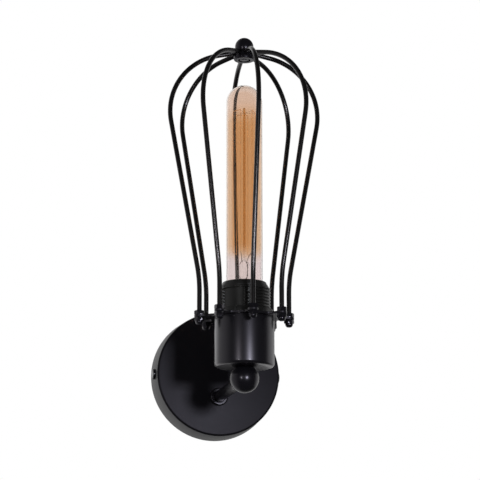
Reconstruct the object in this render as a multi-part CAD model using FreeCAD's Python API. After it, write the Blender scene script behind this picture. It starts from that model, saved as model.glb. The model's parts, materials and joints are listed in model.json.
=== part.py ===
"""Wall light: a round canopy, an arm with a ball, a socket cup and a lamp inside a cage of eight wires.

Sizes are in millimetres. The origin is the centre of the canopy on the wall, +Z is up, and the
light stands out from the wall towards -Y. Pieces of the head are drawn about the lamp's axis and
moved out to it at the end. One STEP file is written for each node.
"""
import FreeCAD, Part
import math
import os

V = FreeCAD.Vector
UP = V(0, 0, 1)
OUT = V(0, -1, 0)
INTO_WALL = V(0, 1, 0)

# ---- where the main axes are ----
lamp_out = 125.0           # wall to the lamp's axis
arm_drop = 19.0            # arm below the centre of the canopy
running = 0.05             # radial clearance of a shaft in its hole
fit_clear = 0.3            # between pieces that move past each other
sheet = 1.2                # steel sheet of the canopy and the cup
sameness = 1e-4            # lengths closer than this count as equal
nut_turned_off = 0.6       # share of a nut's corner height that is turned off
thread_sink = 0.2          # share of a thread's depth sunk in the wall that carries it
thread_foot = 1.1          # width of the sunk foot against the thread's base
head_round = 0.55          # rounding of a screw head against its height
slot_deep = 0.4            # screw slot against the head's height
slot_wide = 0.28           # and against the head's radius

# ---- canopy and what fastens it ----
canopy_r = 52.3            # at the wall
canopy_front_r = 50.9      # at the front edge
canopy_depth = 24.8
canopy_edge_r = 1.8        # rounding of the front edge
side_screw_r = 1.95
side_screw_out = 12.4      # from the wall
side_screw_len = 9.0       # under the head
side_head_r = 4.4
side_head_h = 1.3
side_hole_clear = 0.25

# ---- wall bracket ----
strap_t = 1.6
strap_w = 18.0
ear_w = 10.0
ear_top_over_screw = 5.0   # ear past the screw's axis
tongue_w = 20.0
tongue_top = 29.0          # above the canopy's centre
wall_slot_spacing = 60.3
wall_slot_len = 12.0
wall_slot_r = 2.25
cable_hole_r = 5.0
earth_screw_x = 14.5
earth_screw_r = 1.95
earth_screw_len = 5.0
earth_head_r = 3.6
earth_head_h = 2.4

# ---- terminal block ----
block_w = 26.0
block_h = 17.0
block_t = 12.0
block_bottom = 10.0        # above the canopy's centre
block_poles = 3
block_pole_gap = 8.0
block_row_gap = 10.0
block_screw_r = 1.5
block_screw_len = 3.0
block_fix_r = 1.4
block_fix_head_r = 2.2
block_fix_head_h = 1.4
block_fix_short = 0.5      # fixing screw ends this far inside the tongue's sheet

# ---- arm ----
arm_r = 4.75
arm_wall = 1.25
arm_in_ball = 5.0          # arm inside the ball, from the ball's surface
collar_r = 7.3
collar_h = 4.0
collar_round = 1.0
washer_r = 8.0
spring_t = 0.8
stop_t = 1.2
lock_nut_flats = 14.0
lock_nut_h = 4.0
arm_past_nut = 2.0
stop_pin_r = 1.5
stop_pin_len = 3.6
stop_pin_out = 11.0             # stop pin from the arm's axis
stop_tab_end = 13.0
stop_tab_w = 5.0
turn_up = 180.0            # the head turns this far one way
turn_back = 130.0          # and this far the other way

# ---- ball, nipple and leads ----
ball_r = 11.3
ball_flat_r = 7.2
nipple_r = 4.0
nipple_bore_r = 2.6
nipple_in_ball = 4.0
nipple_in_holder = 4.0
nipple_nut_flats = 13.0
nipple_nut_h = 4.0
nipple_washer_r = 8.0
nipple_washer_t = 1.0
lead_r = 2.1
lead_room = 1.4            # round the lead in the ball
lead_bend_r = 5.5          # inside the ball
canopy_lead_bend_r = 6.6
lead_meet_in_arm = 5.0     # the two leads meet this far inside the arm

# ---- socket cup and lampholder ----
cup_r = 23.2
cup_h = 38.1
cup_corner_r = 2.6
holder_core_r = 19.0
holder_crest_r = 20.2
holder_pitch = 2.4
holder_ridge_base = 1.9
holder_ridge_crest = 0.8
holder_top_over_ring = 27.9
holder_rim_r = 17.2
holder_rim_h = 2.0
holder_neck_r = 18.2
holder_neck_h = 1.6
holder_bore_r = 14.8
holder_floor_below_mouth = 32.0
holder_floor_t = 3.0
holder_base_h = 15.0
holder_base_wall = 2.2
holder_base_floor = 3.0
panel_az = -38.0           # middle of one smooth panel, from -Y towards +X
panel_turn = 54.0
panel_count = 2
panel_low = 6.1            # above the cage ring
panel_high = 21.3
panel_sink = 0.1           # panel below the thread's root
ring_nut_r = 21.8
ring_nut_h = 4.8
ring_nut_edge = 0.6
ring_nut_notches = 12
notch_r = 1.1

# ---- lamp cap, screw shell and contacts ----
cap_root_r = 12.15
cap_crest_r = 13.05
cap_wall = 0.35
cap_pitch = 3.629
cap_ridge_base = 2.0
cap_ridge_crest = 0.9
cap_low = 6.0              # of the cap's sleeve, above the lamp's tip
cap_high = 24.0
cap_ridge_low = 8.0
cap_ridge_high = 21.0
cap_cone_low = 3.8
cap_mouth_r = 8.05
insulator_r = 8.0
insulator_tip_r = 5.0
insulator_low = 0.8
insulator_high = 5.0
tip_r = 4.4
tip_flat_r = 3.0
tip_flat_rise = 0.5
tip_stem_r = 2.4
tip_stem_top = 4.5
thread_clear = 0.35
shell_t = 0.4
shell_ridge_base = 1.6
shell_ridge_crest = 0.7
shell_low = 5.5
shell_high = 19.0
shell_ridge_low = 7.0
shell_ridge_high = 17.5
contact_w = 6.0
contact_t = 0.5
contact_len = 16.0
lamp_seat = 30.0           # lamp's tip below the mouth of the holder
terminal_w = 7.0
terminal_h = 6.0
terminal_out = 9.5
terminal_screw_r = 1.4
terminal_screw_len = 4.0
terminal_head_r = 2.4
terminal_head_h = 1.6

# ---- lamp ----
glass_r = 14.25
glass_wall = 0.9
glass_len = 190.0          # tip of the cap to the top of the glass
glass_neck_r = 11.6
glass_neck_low = 17.0
glass_neck_high = 24.2
glass_shoulder = 28.0
stem_flare_h = 1.2
stem_r = 3.2
stem_neck = 30.0
stem_top = 46.7
pinch_w = 8.0
pinch_t = 2.4
rod_r = 1.0
rod_below_top = 19.0       # below the top of the glass
strand_r = 0.3
strand_ring_r = 9.0        # the filament's runs from the lamp's axis
strand_count = 6
strand_over_stem = 7.3
strand_below_top = 22.0
support_r = 0.25

# ---- cage ----
wire_az = -2.0             # first wire, from -Y towards +X
wire_wander = (0.7, -1.0, 0.0, -2.7, 0.0, 3.0, 0.0, 2.6)   # degrees each wire stands off its place
wire_r = 1.9
wire_foot_r = 35.2         # wires from the lamp's axis at the ring
wire_straight = 30.4       # ring to the first bend's corner
wire_bend_r = 115.0
cage_r = 59.2              # widest, to the wire's centre line
lamp_room = 21.5           # above the glass, below the hub's stud
crown_r = 48.5
crown_slope = 12.0         # degrees, wires rising to the hub
cage_ring_t = 1.8
cage_ring_r = 26.6
ear_end_r = 4.0
ear_fillet_r = 4.5
cage_nut_flats = 7.0
cage_nut_h = 3.2
cap_nut_h = 3.0
cap_nut_dome_r = 3.0
cap_nut_dome_h = 3.0
cap_nut_dome_round = 2.4
wire_below_ring = 3.6

# ---- hub and finial ----
boss_r = 7.1
boss_over_wire = 0.35
hub_h = 8.0
flange_r = 8.5
flange_h = 3.2
flange_round = 1.2
shelf_round = 0.45         # roundings at the flange's top against its width past the boss
wire_end_r = 5.8
recess_h = 4.4
stud_r = 2.4
finial_r = 7.4
finial_seat = 3.2          # ball's flat below its centre
hub_washer_r = 4.6
hub_washer_t = 1.0
hub_nut_flats = 7.0
hub_nut_h = 3.0
stud_past_nut = 0.3

# ---- sizes that follow ----
arm_z = -arm_drop
ball_flat_z = math.sqrt(ball_r ** 2 - ball_flat_r ** 2)
cup_low = arm_z + ball_flat_z
ring_z = cup_low + cup_h
ring_top = ring_z + cage_ring_t
holder_top = ring_z + holder_top_over_ring
floor_top = holder_top - holder_floor_below_mouth
floor_low = floor_top - holder_floor_t
base_low = floor_low - holder_base_h
tip_z = holder_top - lamp_seat
canopy_in = canopy_depth - sheet


def polar(radius, azimuth, z=0.0):
    """Point at a radius and an azimuth, counted from -Y towards +X."""
    turn = math.radians(azimuth)
    return V(radius * math.sin(turn), -radius * math.cos(turn), z)


def rounded_edges(points, radii, closed):
    """Lines and tangent arcs along points, with a radius at each corner (0 keeps it sharp)."""
    count = len(points)
    arrive, leave, middle = list(points), list(points), [None] * count
    for i in range(count):
        inner = closed or 0 < i < count - 1
        if not inner or radii[i] == 0:
            continue
        corner = points[i]
        back = (points[i - 1] - corner).normalize()
        ahead = (points[(i + 1) % count] - corner).normalize()
        half = back.getAngle(ahead) / 2
        cut = radii[i] / math.tan(half)
        arrive[i] = corner + back * cut
        leave[i] = corner + ahead * cut
        bisector = (back + ahead).normalize()
        middle[i] = corner + bisector * (radii[i] / math.sin(half) - radii[i])
    edges = []
    last = count if closed else count - 1
    for i in range(count):
        if middle[i] is not None:
            edges.append(Part.Arc(arrive[i], middle[i], leave[i]).toShape())
        after = arrive[(i + 1) % count]
        if i < last and (after - leave[i]).Length > sameness:
            edges.append(Part.LineSegment(leave[i], after).toShape())
    return edges


def turned(profile, radii=None):
    """Solid turned about Z from a closed profile of (radius, z) points."""
    points = [V(r, 0, z) for r, z in profile]
    edges = rounded_edges(points, radii or [0] * len(points), True)
    face = Part.Face(Part.Wire(edges))
    return face.revolve(V(0, 0, 0), UP, 360)


def ring(r_out, r_in, low, height):
    """Flat ring, or a disc where the inner radius is 0."""
    disc = Part.makeCylinder(r_out, height, V(0, 0, low))
    if r_in == 0:
        return disc
    return disc.cut(Part.makeCylinder(r_in, height, V(0, 0, low)))


def hexagon(flats, low, height):
    """Upright hexagonal prism."""
    corner = flats / 2 / math.cos(math.pi / 6)
    points = [polar(corner, 60 * k, low) for k in range(7)]
    return Part.Face(Part.makePolygon(points)).extrude(UP * height)


def hex_nut(flats, bore_r, low, height):
    """Hexagonal nut with its corners turned off."""
    corner = flats / 2 / math.cos(math.pi / 6)
    edge = (corner - flats / 2) * nut_turned_off
    barrel = turned([(0, low), (flats / 2, low), (corner, low + edge), (corner, low + height - edge),
                     (flats / 2, low + height), (0, low + height)])
    body = hexagon(flats, low, height).common(barrel)
    return body.cut(Part.makeCylinder(bore_r, height, V(0, 0, low)))


def swept(points, radii, radius):
    """Round bar along straight runs joined by arcs."""
    path = Part.Wire(rounded_edges(points, radii, False))
    ahead = (points[1] - points[0]).normalize()
    section = Part.Wire(Part.makeCircle(radius, points[0], ahead))
    return path.makePipeShell([section], True, False)


def rod(start, end, radius):
    """Straight round bar between two points."""
    run = end - start
    return Part.makeCylinder(radius, run.Length, start, run)


def thread_ridge(root_r, crest_r, pitch, low, high, base_w, crest_w):
    """Helical ridge that stands on the root radius, with its base sunk in the wall that carries it."""
    sunk = root_r - (crest_r - root_r) * thread_sink
    centre = V(0, 0, low)
    helix = Part.makeLongHelix(pitch, high - low, root_r)
    helix.translate(centre)
    base = base_w / 2 * thread_foot
    corners = [V(sunk, 0, low - base), V(sunk, 0, low + base), V(crest_r, 0, low + crest_w / 2),
               V(crest_r, 0, low - crest_w / 2)]
    section = Part.makePolygon(corners + corners[:1])
    return Part.Wire(helix.Edges).makePipeShell([section], True, True)


def about_arm(shape):
    """Piece drawn about Z from z = 0, laid along the arm with z pointing out from the wall."""
    laid = shape.copy()
    laid.rotate(V(0, 0, 0), V(1, 0, 0), 90)
    laid.translate(V(0, 0, arm_z))
    return laid


def at_lamp(shape):
    """Piece drawn about Z, moved out to the lamp's axis."""
    moved = shape.copy()
    moved.translate(OUT * lamp_out)
    return moved


def group(shapes):
    """Separate solids that share a node."""
    return Part.makeCompound([solid for shape in shapes for solid in shape.Solids])


def screw_along(start, axis, radius, length, head_r, head_h):
    """Pan head screw: the head's seat is at start, and the shank runs along the axis."""
    shank = Part.makeCylinder(radius, length, start, axis)
    head = Part.makeCylinder(head_r, head_h, start, axis * -1)
    top = start - axis * head_h
    crown = [e for e in head.Edges if (e.CenterOfMass - top).Length < head_h / 2]
    head = head.makeFillet(min(head_h, head_r) * head_round, crown)
    wide, long = head_r * slot_wide, 3 * head_r
    slot = Part.makeBox(long, wide, head_h * slot_deep)
    slot.translate(V(-long / 2, -wide / 2, 0))
    slot.Placement = FreeCAD.Placement(top, FreeCAD.Rotation(UP, axis)).multiply(slot.Placement)
    return shank.fuse(head).cut(slot).removeSplitter()


# ---- wall side ----

def canopy_wall_r(from_wall):
    """Outer radius of the canopy's side at a distance from the wall."""
    return canopy_r + (canopy_front_r - canopy_r) * from_wall / canopy_depth


def canopy():
    """Pressed canopy, open at the wall, with holes for the arm and the side screws."""
    outer = turned([(0, 0), (canopy_r, 0), (canopy_front_r, canopy_depth), (0, canopy_depth)],
                   [0, 0, canopy_edge_r, 0])
    inner = turned([(0, 0), (canopy_r - sheet, 0), (canopy_front_r - sheet, canopy_in), (0, canopy_in)],
                   [0, 0, max(canopy_edge_r - sheet, sheet / 2), 0])
    shell = outer.cut(inner)
    shell.rotate(V(0, 0, 0), V(1, 0, 0), 90)
    arm_hole = Part.makeCylinder(arm_r + running, canopy_depth, V(0, 0, arm_z), OUT)
    left = V(-canopy_r, -side_screw_out, 0)
    side_hole = Part.makeCylinder(side_screw_r + side_hole_clear, 2 * canopy_r, left, V(1, 0, 0))
    return shell.cut(arm_hole).cut(side_hole)


def ear_x():
    """Outer face of the bracket's ears, just inside the canopy."""
    narrow = canopy_wall_r(side_screw_out + ear_top_over_screw) - sheet
    return math.sqrt(narrow ** 2 - (ear_w / 2) ** 2) - fit_clear


def wall_bracket():
    """Strap on the wall with two bent ears for the side screws and a tongue for the terminals."""
    reach = ear_x()
    depth = side_screw_out + ear_top_over_screw
    strap = Part.makeBox(2 * reach, strap_t, ear_w, V(-reach, -strap_t, -ear_w / 2))
    web_x = reach - ear_w
    web = Part.makeBox(2 * web_x, strap_t, strap_w, V(-web_x, -strap_t, -strap_w / 2))
    tongue = Part.makeBox(tongue_w, strap_t, tongue_top, V(-tongue_w / 2, -strap_t, 0))
    body = strap.fuse([web, tongue])
    for side in (-1, 1):
        face_x = side * reach - (strap_t if side > 0 else 0)
        ear = Part.makeBox(strap_t, depth, ear_w, V(face_x, -depth, -ear_w / 2))
        body = body.fuse(ear)
    bore = Part.makeCylinder(side_screw_r + running, 2 * reach, V(-reach, -side_screw_out, 0), V(1, 0, 0))
    body = body.cut(bore)
    for side in (-1, 1):
        body = body.cut(wall_slot(side * wall_slot_spacing / 2))
    holes = [(cable_hole_r, 0, 0), (earth_screw_r + running, earth_screw_x, 0),
             (block_fix_r + running, 0, block_bottom + block_h / 2)]
    for radius, x, z in holes:
        body = body.cut(Part.makeCylinder(radius, strap_t, V(x, -strap_t, z), INTO_WALL))
    return body.removeSplitter()


def wall_slot(x):
    """Slot for a wall screw, long way across."""
    half = wall_slot_len / 2 - wall_slot_r
    bar = Part.makeBox(2 * half, strap_t, 2 * wall_slot_r, V(x - half, -strap_t, -wall_slot_r))
    ends = [Part.makeCylinder(wall_slot_r, strap_t, V(x + s * half, -strap_t, 0), INTO_WALL) for s in (-1, 1)]
    return bar.fuse(ends)


def canopy_side_screws():
    """Two screws that hold the canopy on the bracket's ears."""
    seat = canopy_wall_r(side_screw_out - side_head_r)
    screws = []
    for side in (-1, 1):
        start = V(side * seat, -side_screw_out, 0)
        inward = V(-side, 0, 0)
        screws.append(screw_along(start, inward, side_screw_r, side_screw_len, side_head_r, side_head_h))
    return group(screws)


def earth_screw():
    """Earth screw on the strap."""
    return screw_along(V(earth_screw_x, -earth_screw_len, 0), INTO_WALL, earth_screw_r, earth_screw_len,
                       earth_head_r, earth_head_h)


def earth_tag():
    """Ring tag under the earth screw's head."""
    height = earth_screw_len - strap_t
    tag = ring(earth_head_r, earth_screw_r + running, 0, height)
    tag.rotate(V(0, 0, 0), V(1, 0, 0), 90)
    tag.translate(V(earth_screw_x, -strap_t, 0))
    return tag


def terminal_block():
    """Three-pole block on the tongue, with screw holes in front and a way for the lead below."""
    body = Part.makeBox(block_w, block_t, block_h, V(-block_w / 2, -strap_t - block_t, block_bottom))
    front = -strap_t - block_t
    for x, z in block_screw_places():
        deep = block_screw_len + block_screw_r
        body = body.cut(Part.makeCylinder(block_screw_r + running, deep, V(x, front, z), INTO_WALL))
    middle = block_bottom + block_h / 2
    fix = Part.makeCylinder(block_fix_r + running, block_t, V(0, front, middle), INTO_WALL)
    seat = Part.makeCylinder(block_fix_head_r + fit_clear, block_fix_head_h, V(0, front, middle), INTO_WALL)
    return body.cut(fix).cut(seat)


def block_screw_places():
    """Places (x, z) of the block's clamping screws."""
    middle = block_bottom + block_h / 2
    columns = [(k - (block_poles - 1) / 2) * block_pole_gap for k in range(block_poles)]
    return [(x, middle + s * block_row_gap / 2) for x in columns for s in (-1, 1)]


def terminal_block_screws():
    """Clamping screws, sunk in the block."""
    front = -strap_t - block_t + block_screw_r / 2
    return group([Part.makeCylinder(block_screw_r, block_screw_len, V(x, front, z), INTO_WALL)
                  for x, z in block_screw_places()])


def terminal_fixing_screw():
    """Screw that holds the block on the tongue."""
    front = -strap_t - block_t
    seat = V(0, front + block_fix_head_h, block_bottom + block_h / 2)
    length = block_t - block_fix_head_h + strap_t - block_fix_short
    return screw_along(seat, INTO_WALL, block_fix_r, length, block_fix_head_r, block_fix_head_h)


def stop_pin():
    """Pin inside the canopy's face that ends the arm's turn."""
    spare = (360 - turn_up - turn_back) / 2
    turn = math.radians(turn_up + spare)
    x = -stop_pin_out * math.sin(turn)
    z = arm_z - stop_pin_out * math.cos(turn)
    return Part.makeCylinder(stop_pin_r, stop_pin_len, V(x, -canopy_in, z), INTO_WALL)


def arm_inner_end():
    """Distance from the wall to the arm's inner end."""
    return canopy_in - spring_t - stop_t - lock_nut_h - arm_past_nut


def canopy_lead():
    """Sheathed lead from the terminal block down and into the arm."""
    meet = arm_inner_end() + lead_meet_in_arm
    block_y = -strap_t - block_t / 2
    points = [V(0, -meet, arm_z), V(0, block_y, arm_z), V(0, block_y, block_bottom)]
    return swept(points, [0, canopy_lead_bend_r, 0], lead_r)


# ---- arm ----

def arm_front_end():
    """Distance from the wall to the arm's front end, inside the ball."""
    return lamp_out - math.sqrt(ball_r ** 2 - arm_r ** 2) + arm_in_ball


def arm_tube():
    """Tube from the ball to the inside of the canopy."""
    low = arm_inner_end()
    return about_arm(ring(arm_r, arm_r - arm_wall, low, arm_front_end() - low))


def arm_collar():
    """Rounded collar on the arm, against the canopy's face."""
    low = canopy_depth
    body = turned([(arm_r + running, low), (collar_r, low), (collar_r, low + collar_h),
                   (arm_r + running, low + collar_h)], [0, 0, collar_round, 0])
    return about_arm(body)


def arm_spring_washer():
    """Washer that presses on the inside of the canopy's face."""
    return about_arm(ring(washer_r, arm_r + running, canopy_in - spring_t, spring_t))


def arm_stop_washer():
    """Washer with the tab that meets the stop pin."""
    low = canopy_in - spring_t - stop_t
    tab = Part.makeBox(stop_tab_w, stop_tab_end, stop_t, V(-stop_tab_w / 2, -stop_tab_end, low))
    body = ring(washer_r, 0, low, stop_t).fuse(tab)
    bore = Part.makeCylinder(arm_r + running, stop_t, V(0, 0, low))
    return about_arm(body.cut(bore).removeSplitter())


def arm_lock_nut():
    """Nut that holds the arm in the canopy."""
    low = canopy_in - spring_t - stop_t - lock_nut_h
    return about_arm(hex_nut(lock_nut_flats, arm_r + running, low, lock_nut_h))


def swivel_ball():
    """Ball with a flat under the cup, a socket for the arm and a way through for the lead."""
    centre = V(0, 0, arm_z)
    ball = Part.makeSphere(ball_r, centre)
    above = Part.makeBox(2 * ball_r, 2 * ball_r, ball_r, V(-ball_r, -ball_r, arm_z + ball_flat_z))
    arm_seat = lamp_out - arm_front_end()
    socket = Part.makeCylinder(arm_r + running, ball_r, V(0, arm_seat, arm_z), INTO_WALL)
    channel_r = lead_r + lead_room
    across = Part.makeCylinder(channel_r, ball_r + channel_r, V(0, -channel_r, arm_z), INTO_WALL)
    up = Part.makeCylinder(channel_r, ball_r + channel_r, V(0, 0, arm_z - channel_r))
    seat = Part.makeCylinder(nipple_r + running, ball_r, V(0, 0, arm_z + ball_flat_z - nipple_in_ball))
    return at_lamp(ball.cut(above).cut(socket).cut(across).cut(up).cut(seat))


# ---- socket cup and lampholder ----

def head_nipple():
    """Threaded tube that joins the ball, the cup and the lampholder."""
    low = arm_z + ball_flat_z - nipple_in_ball
    return at_lamp(ring(nipple_r, nipple_bore_r, low, base_low + nipple_in_holder - low))


def nipple_washer():
    """Washer inside the cup."""
    return at_lamp(ring(nipple_washer_r, nipple_r + running, cup_low + sheet, nipple_washer_t))


def nipple_nut():
    """Nut inside the cup."""
    low = cup_low + sheet + nipple_washer_t
    return at_lamp(hex_nut(nipple_nut_flats, nipple_r + running, low, nipple_nut_h))


def socket_cup():
    """Pressed cup, open at the top, with a hole for the nipple."""
    corner_in = max(cup_corner_r - sheet, sheet / 2)
    outer = turned([(0, cup_low), (cup_r, cup_low), (cup_r, ring_z), (0, ring_z)], [0, cup_corner_r, 0, 0])
    floor, r_in = cup_low + sheet, cup_r - sheet
    inner = turned([(0, floor), (r_in, floor), (r_in, ring_z), (0, ring_z)], [0, corner_in, 0, 0])
    hole = Part.makeCylinder(nipple_r + running, sheet, V(0, 0, cup_low))
    return at_lamp(outer.cut(inner).cut(hole))


def holder_base():
    """Lower half of the lampholder: a cup screwed on the nipple, round the terminals."""
    r_in = holder_core_r - holder_base_wall
    body = turned([(nipple_r + running, base_low), (holder_core_r, base_low), (holder_core_r, floor_low),
                   (r_in, floor_low), (r_in, base_low + holder_base_floor),
                   (nipple_r + running, base_low + holder_base_floor)])
    return at_lamp(body)


def holder_body():
    """Upper half of the lampholder, threaded outside, with smooth panels across the thread."""
    neck_low = holder_top - holder_rim_h - holder_neck_h
    rim_low = holder_top - holder_rim_h
    core = turned([(0, floor_low), (holder_core_r, floor_low), (holder_core_r, neck_low),
                   (holder_neck_r, neck_low), (holder_neck_r, rim_low), (holder_rim_r, rim_low),
                   (holder_rim_r, holder_top), (holder_bore_r, holder_top), (holder_bore_r, floor_top),
                   (0, floor_top)])
    low = ring_z + holder_ridge_base / 2
    high = neck_low - holder_ridge_base / 2
    ridge = thread_ridge(holder_core_r, holder_crest_r, holder_pitch, low, high, holder_ridge_base,
                         holder_ridge_crest)
    for side in (-1, 1):
        hole = V(side * terminal_out, 0, floor_low)
        core = core.cut(Part.makeCylinder(terminal_screw_r + running, holder_floor_t, hole))
    body = core.fuse(ridge)
    for k in range(panel_count):
        body = body.cut(panel(panel_az + k * 360 / panel_count))
    return at_lamp(body)


def panel(azimuth):
    """What a smooth panel takes off the thread."""
    near = holder_core_r - panel_sink
    low, high = ring_z + panel_low, ring_z + panel_high
    face = Part.Face(Part.makePolygon([V(near, 0, low), V(cup_r, 0, low), V(cup_r, 0, high), V(near, 0, high),
                                       V(near, 0, low)]))
    wedge = face.revolve(V(0, 0, 0), UP, panel_turn)
    wedge.rotate(V(0, 0, 0), UP, azimuth - panel_turn / 2 - 90)
    return wedge


def shell_root_r():
    """Inner radius of the screw shell between its ridges."""
    return cap_crest_r + thread_clear


def holder_screw_shell():
    """Brass screw shell, with its ridge half a pitch from the lamp cap's."""
    root = shell_root_r()
    body = ring(root + shell_t, root, tip_z + shell_low, shell_high - shell_low)
    low = tip_z + cap_ridge_low + cap_pitch / 2
    turns = math.floor((shell_ridge_high - cap_ridge_low) / cap_pitch - 1)
    ridge = thread_ridge(root, cap_root_r + thread_clear, cap_pitch, low, low + turns * cap_pitch,
                         shell_ridge_base, shell_ridge_crest)
    return at_lamp(body.fuse(ridge).removeSplitter())


def shell_lug():
    """Strip that carries the screw shell from the holder's floor."""
    root = shell_root_r()
    low = floor_top
    strip = ring(root + shell_t, root, low, tip_z + shell_low - low)
    keep = Part.makeBox(2 * contact_w, 4 * root, holder_top, V(-contact_w, -2 * root, low))
    return at_lamp(strip.common(keep))


def holder_centre_contact():
    """Sprung strip under the lamp's tip."""
    rise = tip_z - floor_top
    foot = Part.makeBox(contact_len / 2, contact_w, contact_t, V(0, -contact_w / 2, floor_top))
    post = Part.makeBox(contact_t, contact_w, rise, V(contact_len / 2 - contact_t, -contact_w / 2, floor_top))
    tongue = Part.makeBox(contact_len / 2 + tip_flat_r, contact_w, contact_t,
                          V(-tip_flat_r, -contact_w / 2, tip_z - contact_t))
    return at_lamp(foot.fuse([post, tongue]).removeSplitter())


def holder_terminals():
    """Two brass terminals under the holder's floor."""
    low = floor_low - terminal_h
    blocks = []
    for side in (-1, 1):
        block = Part.makeBox(terminal_w, terminal_w, terminal_h, V(side * terminal_out - terminal_w / 2,
                                                                 -terminal_w / 2, low))
        blocks.append(block.cut(Part.makeCylinder(terminal_screw_r + running, terminal_h,
                                                 V(side * terminal_out, 0, low))))
    return at_lamp(group(blocks))


def holder_terminal_screws():
    """Screws that hold the terminals to the floor."""
    low = floor_low - terminal_h
    length = terminal_h + holder_floor_t / 2
    return at_lamp(group([screw_along(V(side * terminal_out, 0, low), UP, terminal_screw_r, length,
                                      terminal_head_r, terminal_head_h) for side in (-1, 1)]))


def head_lead():
    """Sheathed lead from the arm through the ball and the nipple to the terminals."""
    meet = lamp_out - arm_inner_end() - lead_meet_in_arm
    top = floor_low - fit_clear
    points = [V(0, meet, arm_z), V(0, 0, arm_z), V(0, 0, top)]
    return at_lamp(swept(points, [0, lead_bend_r, 0], lead_r))


def holder_ring_nut():
    """Ring nut that clamps the cage ring on the cup's rim."""
    bore = holder_crest_r + running
    body = turned([(bore, ring_top), (ring_nut_r, ring_top), (ring_nut_r, ring_top + ring_nut_h),
                   (bore, ring_top + ring_nut_h)], [0, ring_nut_edge, ring_nut_edge, 0])
    for k in range(ring_nut_notches):
        at = polar(ring_nut_r + notch_r / 2, 360 * k / ring_nut_notches, ring_top)
        body = body.cut(Part.makeCylinder(notch_r, ring_nut_h, at))
    return at_lamp(body)


# ---- cage ----

def wire_azimuths():
    """Azimuth of each wire."""
    step = 360 / len(wire_wander)
    return [wire_az + step * k + wander for k, wander in enumerate(wire_wander)]


def cage_ring():
    """Flat ring with an ear for each wire."""
    disc = ring(cage_ring_r, 0, ring_z, cage_ring_t)
    ears = []
    for azimuth in wire_azimuths():
        arm = Part.makeBox(2 * ear_end_r, wire_foot_r, cage_ring_t, V(-ear_end_r, -wire_foot_r, ring_z))
        arm.rotate(V(0, 0, 0), UP, azimuth)
        ears += [arm, Part.makeCylinder(ear_end_r, cage_ring_t, polar(wire_foot_r, azimuth, ring_z))]
    plate = disc.fuse(ears).removeSplitter()
    inner = [e for e in plate.Edges if len(e.Vertexes) == 2 and is_ear_root(e)]
    plate = plate.makeFillet(ear_fillet_r, inner)
    cuts = [Part.makeCylinder(holder_crest_r + running, cage_ring_t, V(0, 0, ring_z))]
    cuts += [Part.makeCylinder(wire_r + running, cage_ring_t, polar(wire_foot_r, a, ring_z))
             for a in wire_azimuths()]
    return at_lamp(plate.cut(cuts))


def is_ear_root(edge):
    """True for the upright edges where the ears leave the ring."""
    low, high = edge.Vertexes[0].Point, edge.Vertexes[1].Point
    upright = abs(abs(high.z - low.z) - cage_ring_t) < sameness
    on_disc = abs(math.hypot(low.x, low.y) - cage_ring_r) < sameness
    return upright and on_disc


def crown_z(radius):
    """Height of the wires' centre line at a radius near the hub."""
    fall = (radius - boss_r) * math.tan(math.radians(crown_slope))
    return hub_top() - boss_over_wire - wire_r - fall


def wire_corners():
    """Corners (radius, z) of a wire: its foot, the bend, the shoulder and its end in the hub."""
    slope = math.radians(crown_slope)
    bend_z = ring_z + wire_straight
    # the crown's arc touches the widest radius and the line to the hub
    centre_r = cage_r - crown_r
    centre_z = crown_z(centre_r) - crown_r / math.cos(slope)
    # the run from the bend leans so that it touches the crown's arc
    across, along = centre_r - wire_foot_r, centre_z - bend_z
    lean = math.tan(math.atan2(across, along) + math.asin(crown_r / math.hypot(across, along)))
    start_z = crown_z(wire_foot_r)
    rise = (start_z - bend_z) / (1 + lean * math.tan(slope))
    shoulder = (wire_foot_r + rise * lean, bend_z + rise)
    foot = (wire_foot_r, ring_z - wire_below_ring)
    return [foot, (wire_foot_r, bend_z), shoulder, (wire_end_r, crown_z(wire_end_r))]


def cage_wire(azimuth):
    """One wire: up from its ear, leaning out, over the crown and into the hub."""
    points = [polar(r, azimuth, z) for r, z in wire_corners()]
    return at_lamp(swept(points, [0, wire_bend_r, crown_r, 0], wire_r))


def cage_upper_nuts():
    """Nut on each wire, on top of its ear."""
    nut = hex_nut(cage_nut_flats, wire_r + running, ring_top, cage_nut_h)
    return at_lamp(group([round_cage(nut, azimuth) for azimuth in wire_azimuths()]))


def round_cage(shape, azimuth):
    """Copy of a piece moved from the axis to a wire's foot."""
    moved = shape.copy()
    moved.translate(V(0, -wire_foot_r, 0))
    moved.rotate(V(0, 0, 0), UP, azimuth)
    return moved


def cage_cap_nuts():
    """Domed nut under each ear, on the wire's threaded end."""
    hexagonal = hexagon(cage_nut_flats, ring_z - cap_nut_h, cap_nut_h)
    dome_low = ring_z - cap_nut_h - cap_nut_dome_h
    dome = turned([(0, dome_low), (cap_nut_dome_r, dome_low), (cap_nut_dome_r, ring_z - cap_nut_h),
                   (0, ring_z - cap_nut_h)], [0, cap_nut_dome_round, 0, 0])
    deep = wire_below_ring + running
    bore = Part.makeCylinder(wire_r + running, deep, V(0, 0, ring_z - deep))
    nut = hexagonal.fuse(dome).cut(bore).removeSplitter()
    return at_lamp(group([round_cage(nut, azimuth) for azimuth in wire_azimuths()]))


def hub_top():
    """Top of the hub."""
    return hub_low() + hub_h


def hub_low():
    """Underside of the hub's flange, round the washer and nut in its recess."""
    return hub_nut_low() + hub_nut_h + hub_washer_t - recess_h


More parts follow.
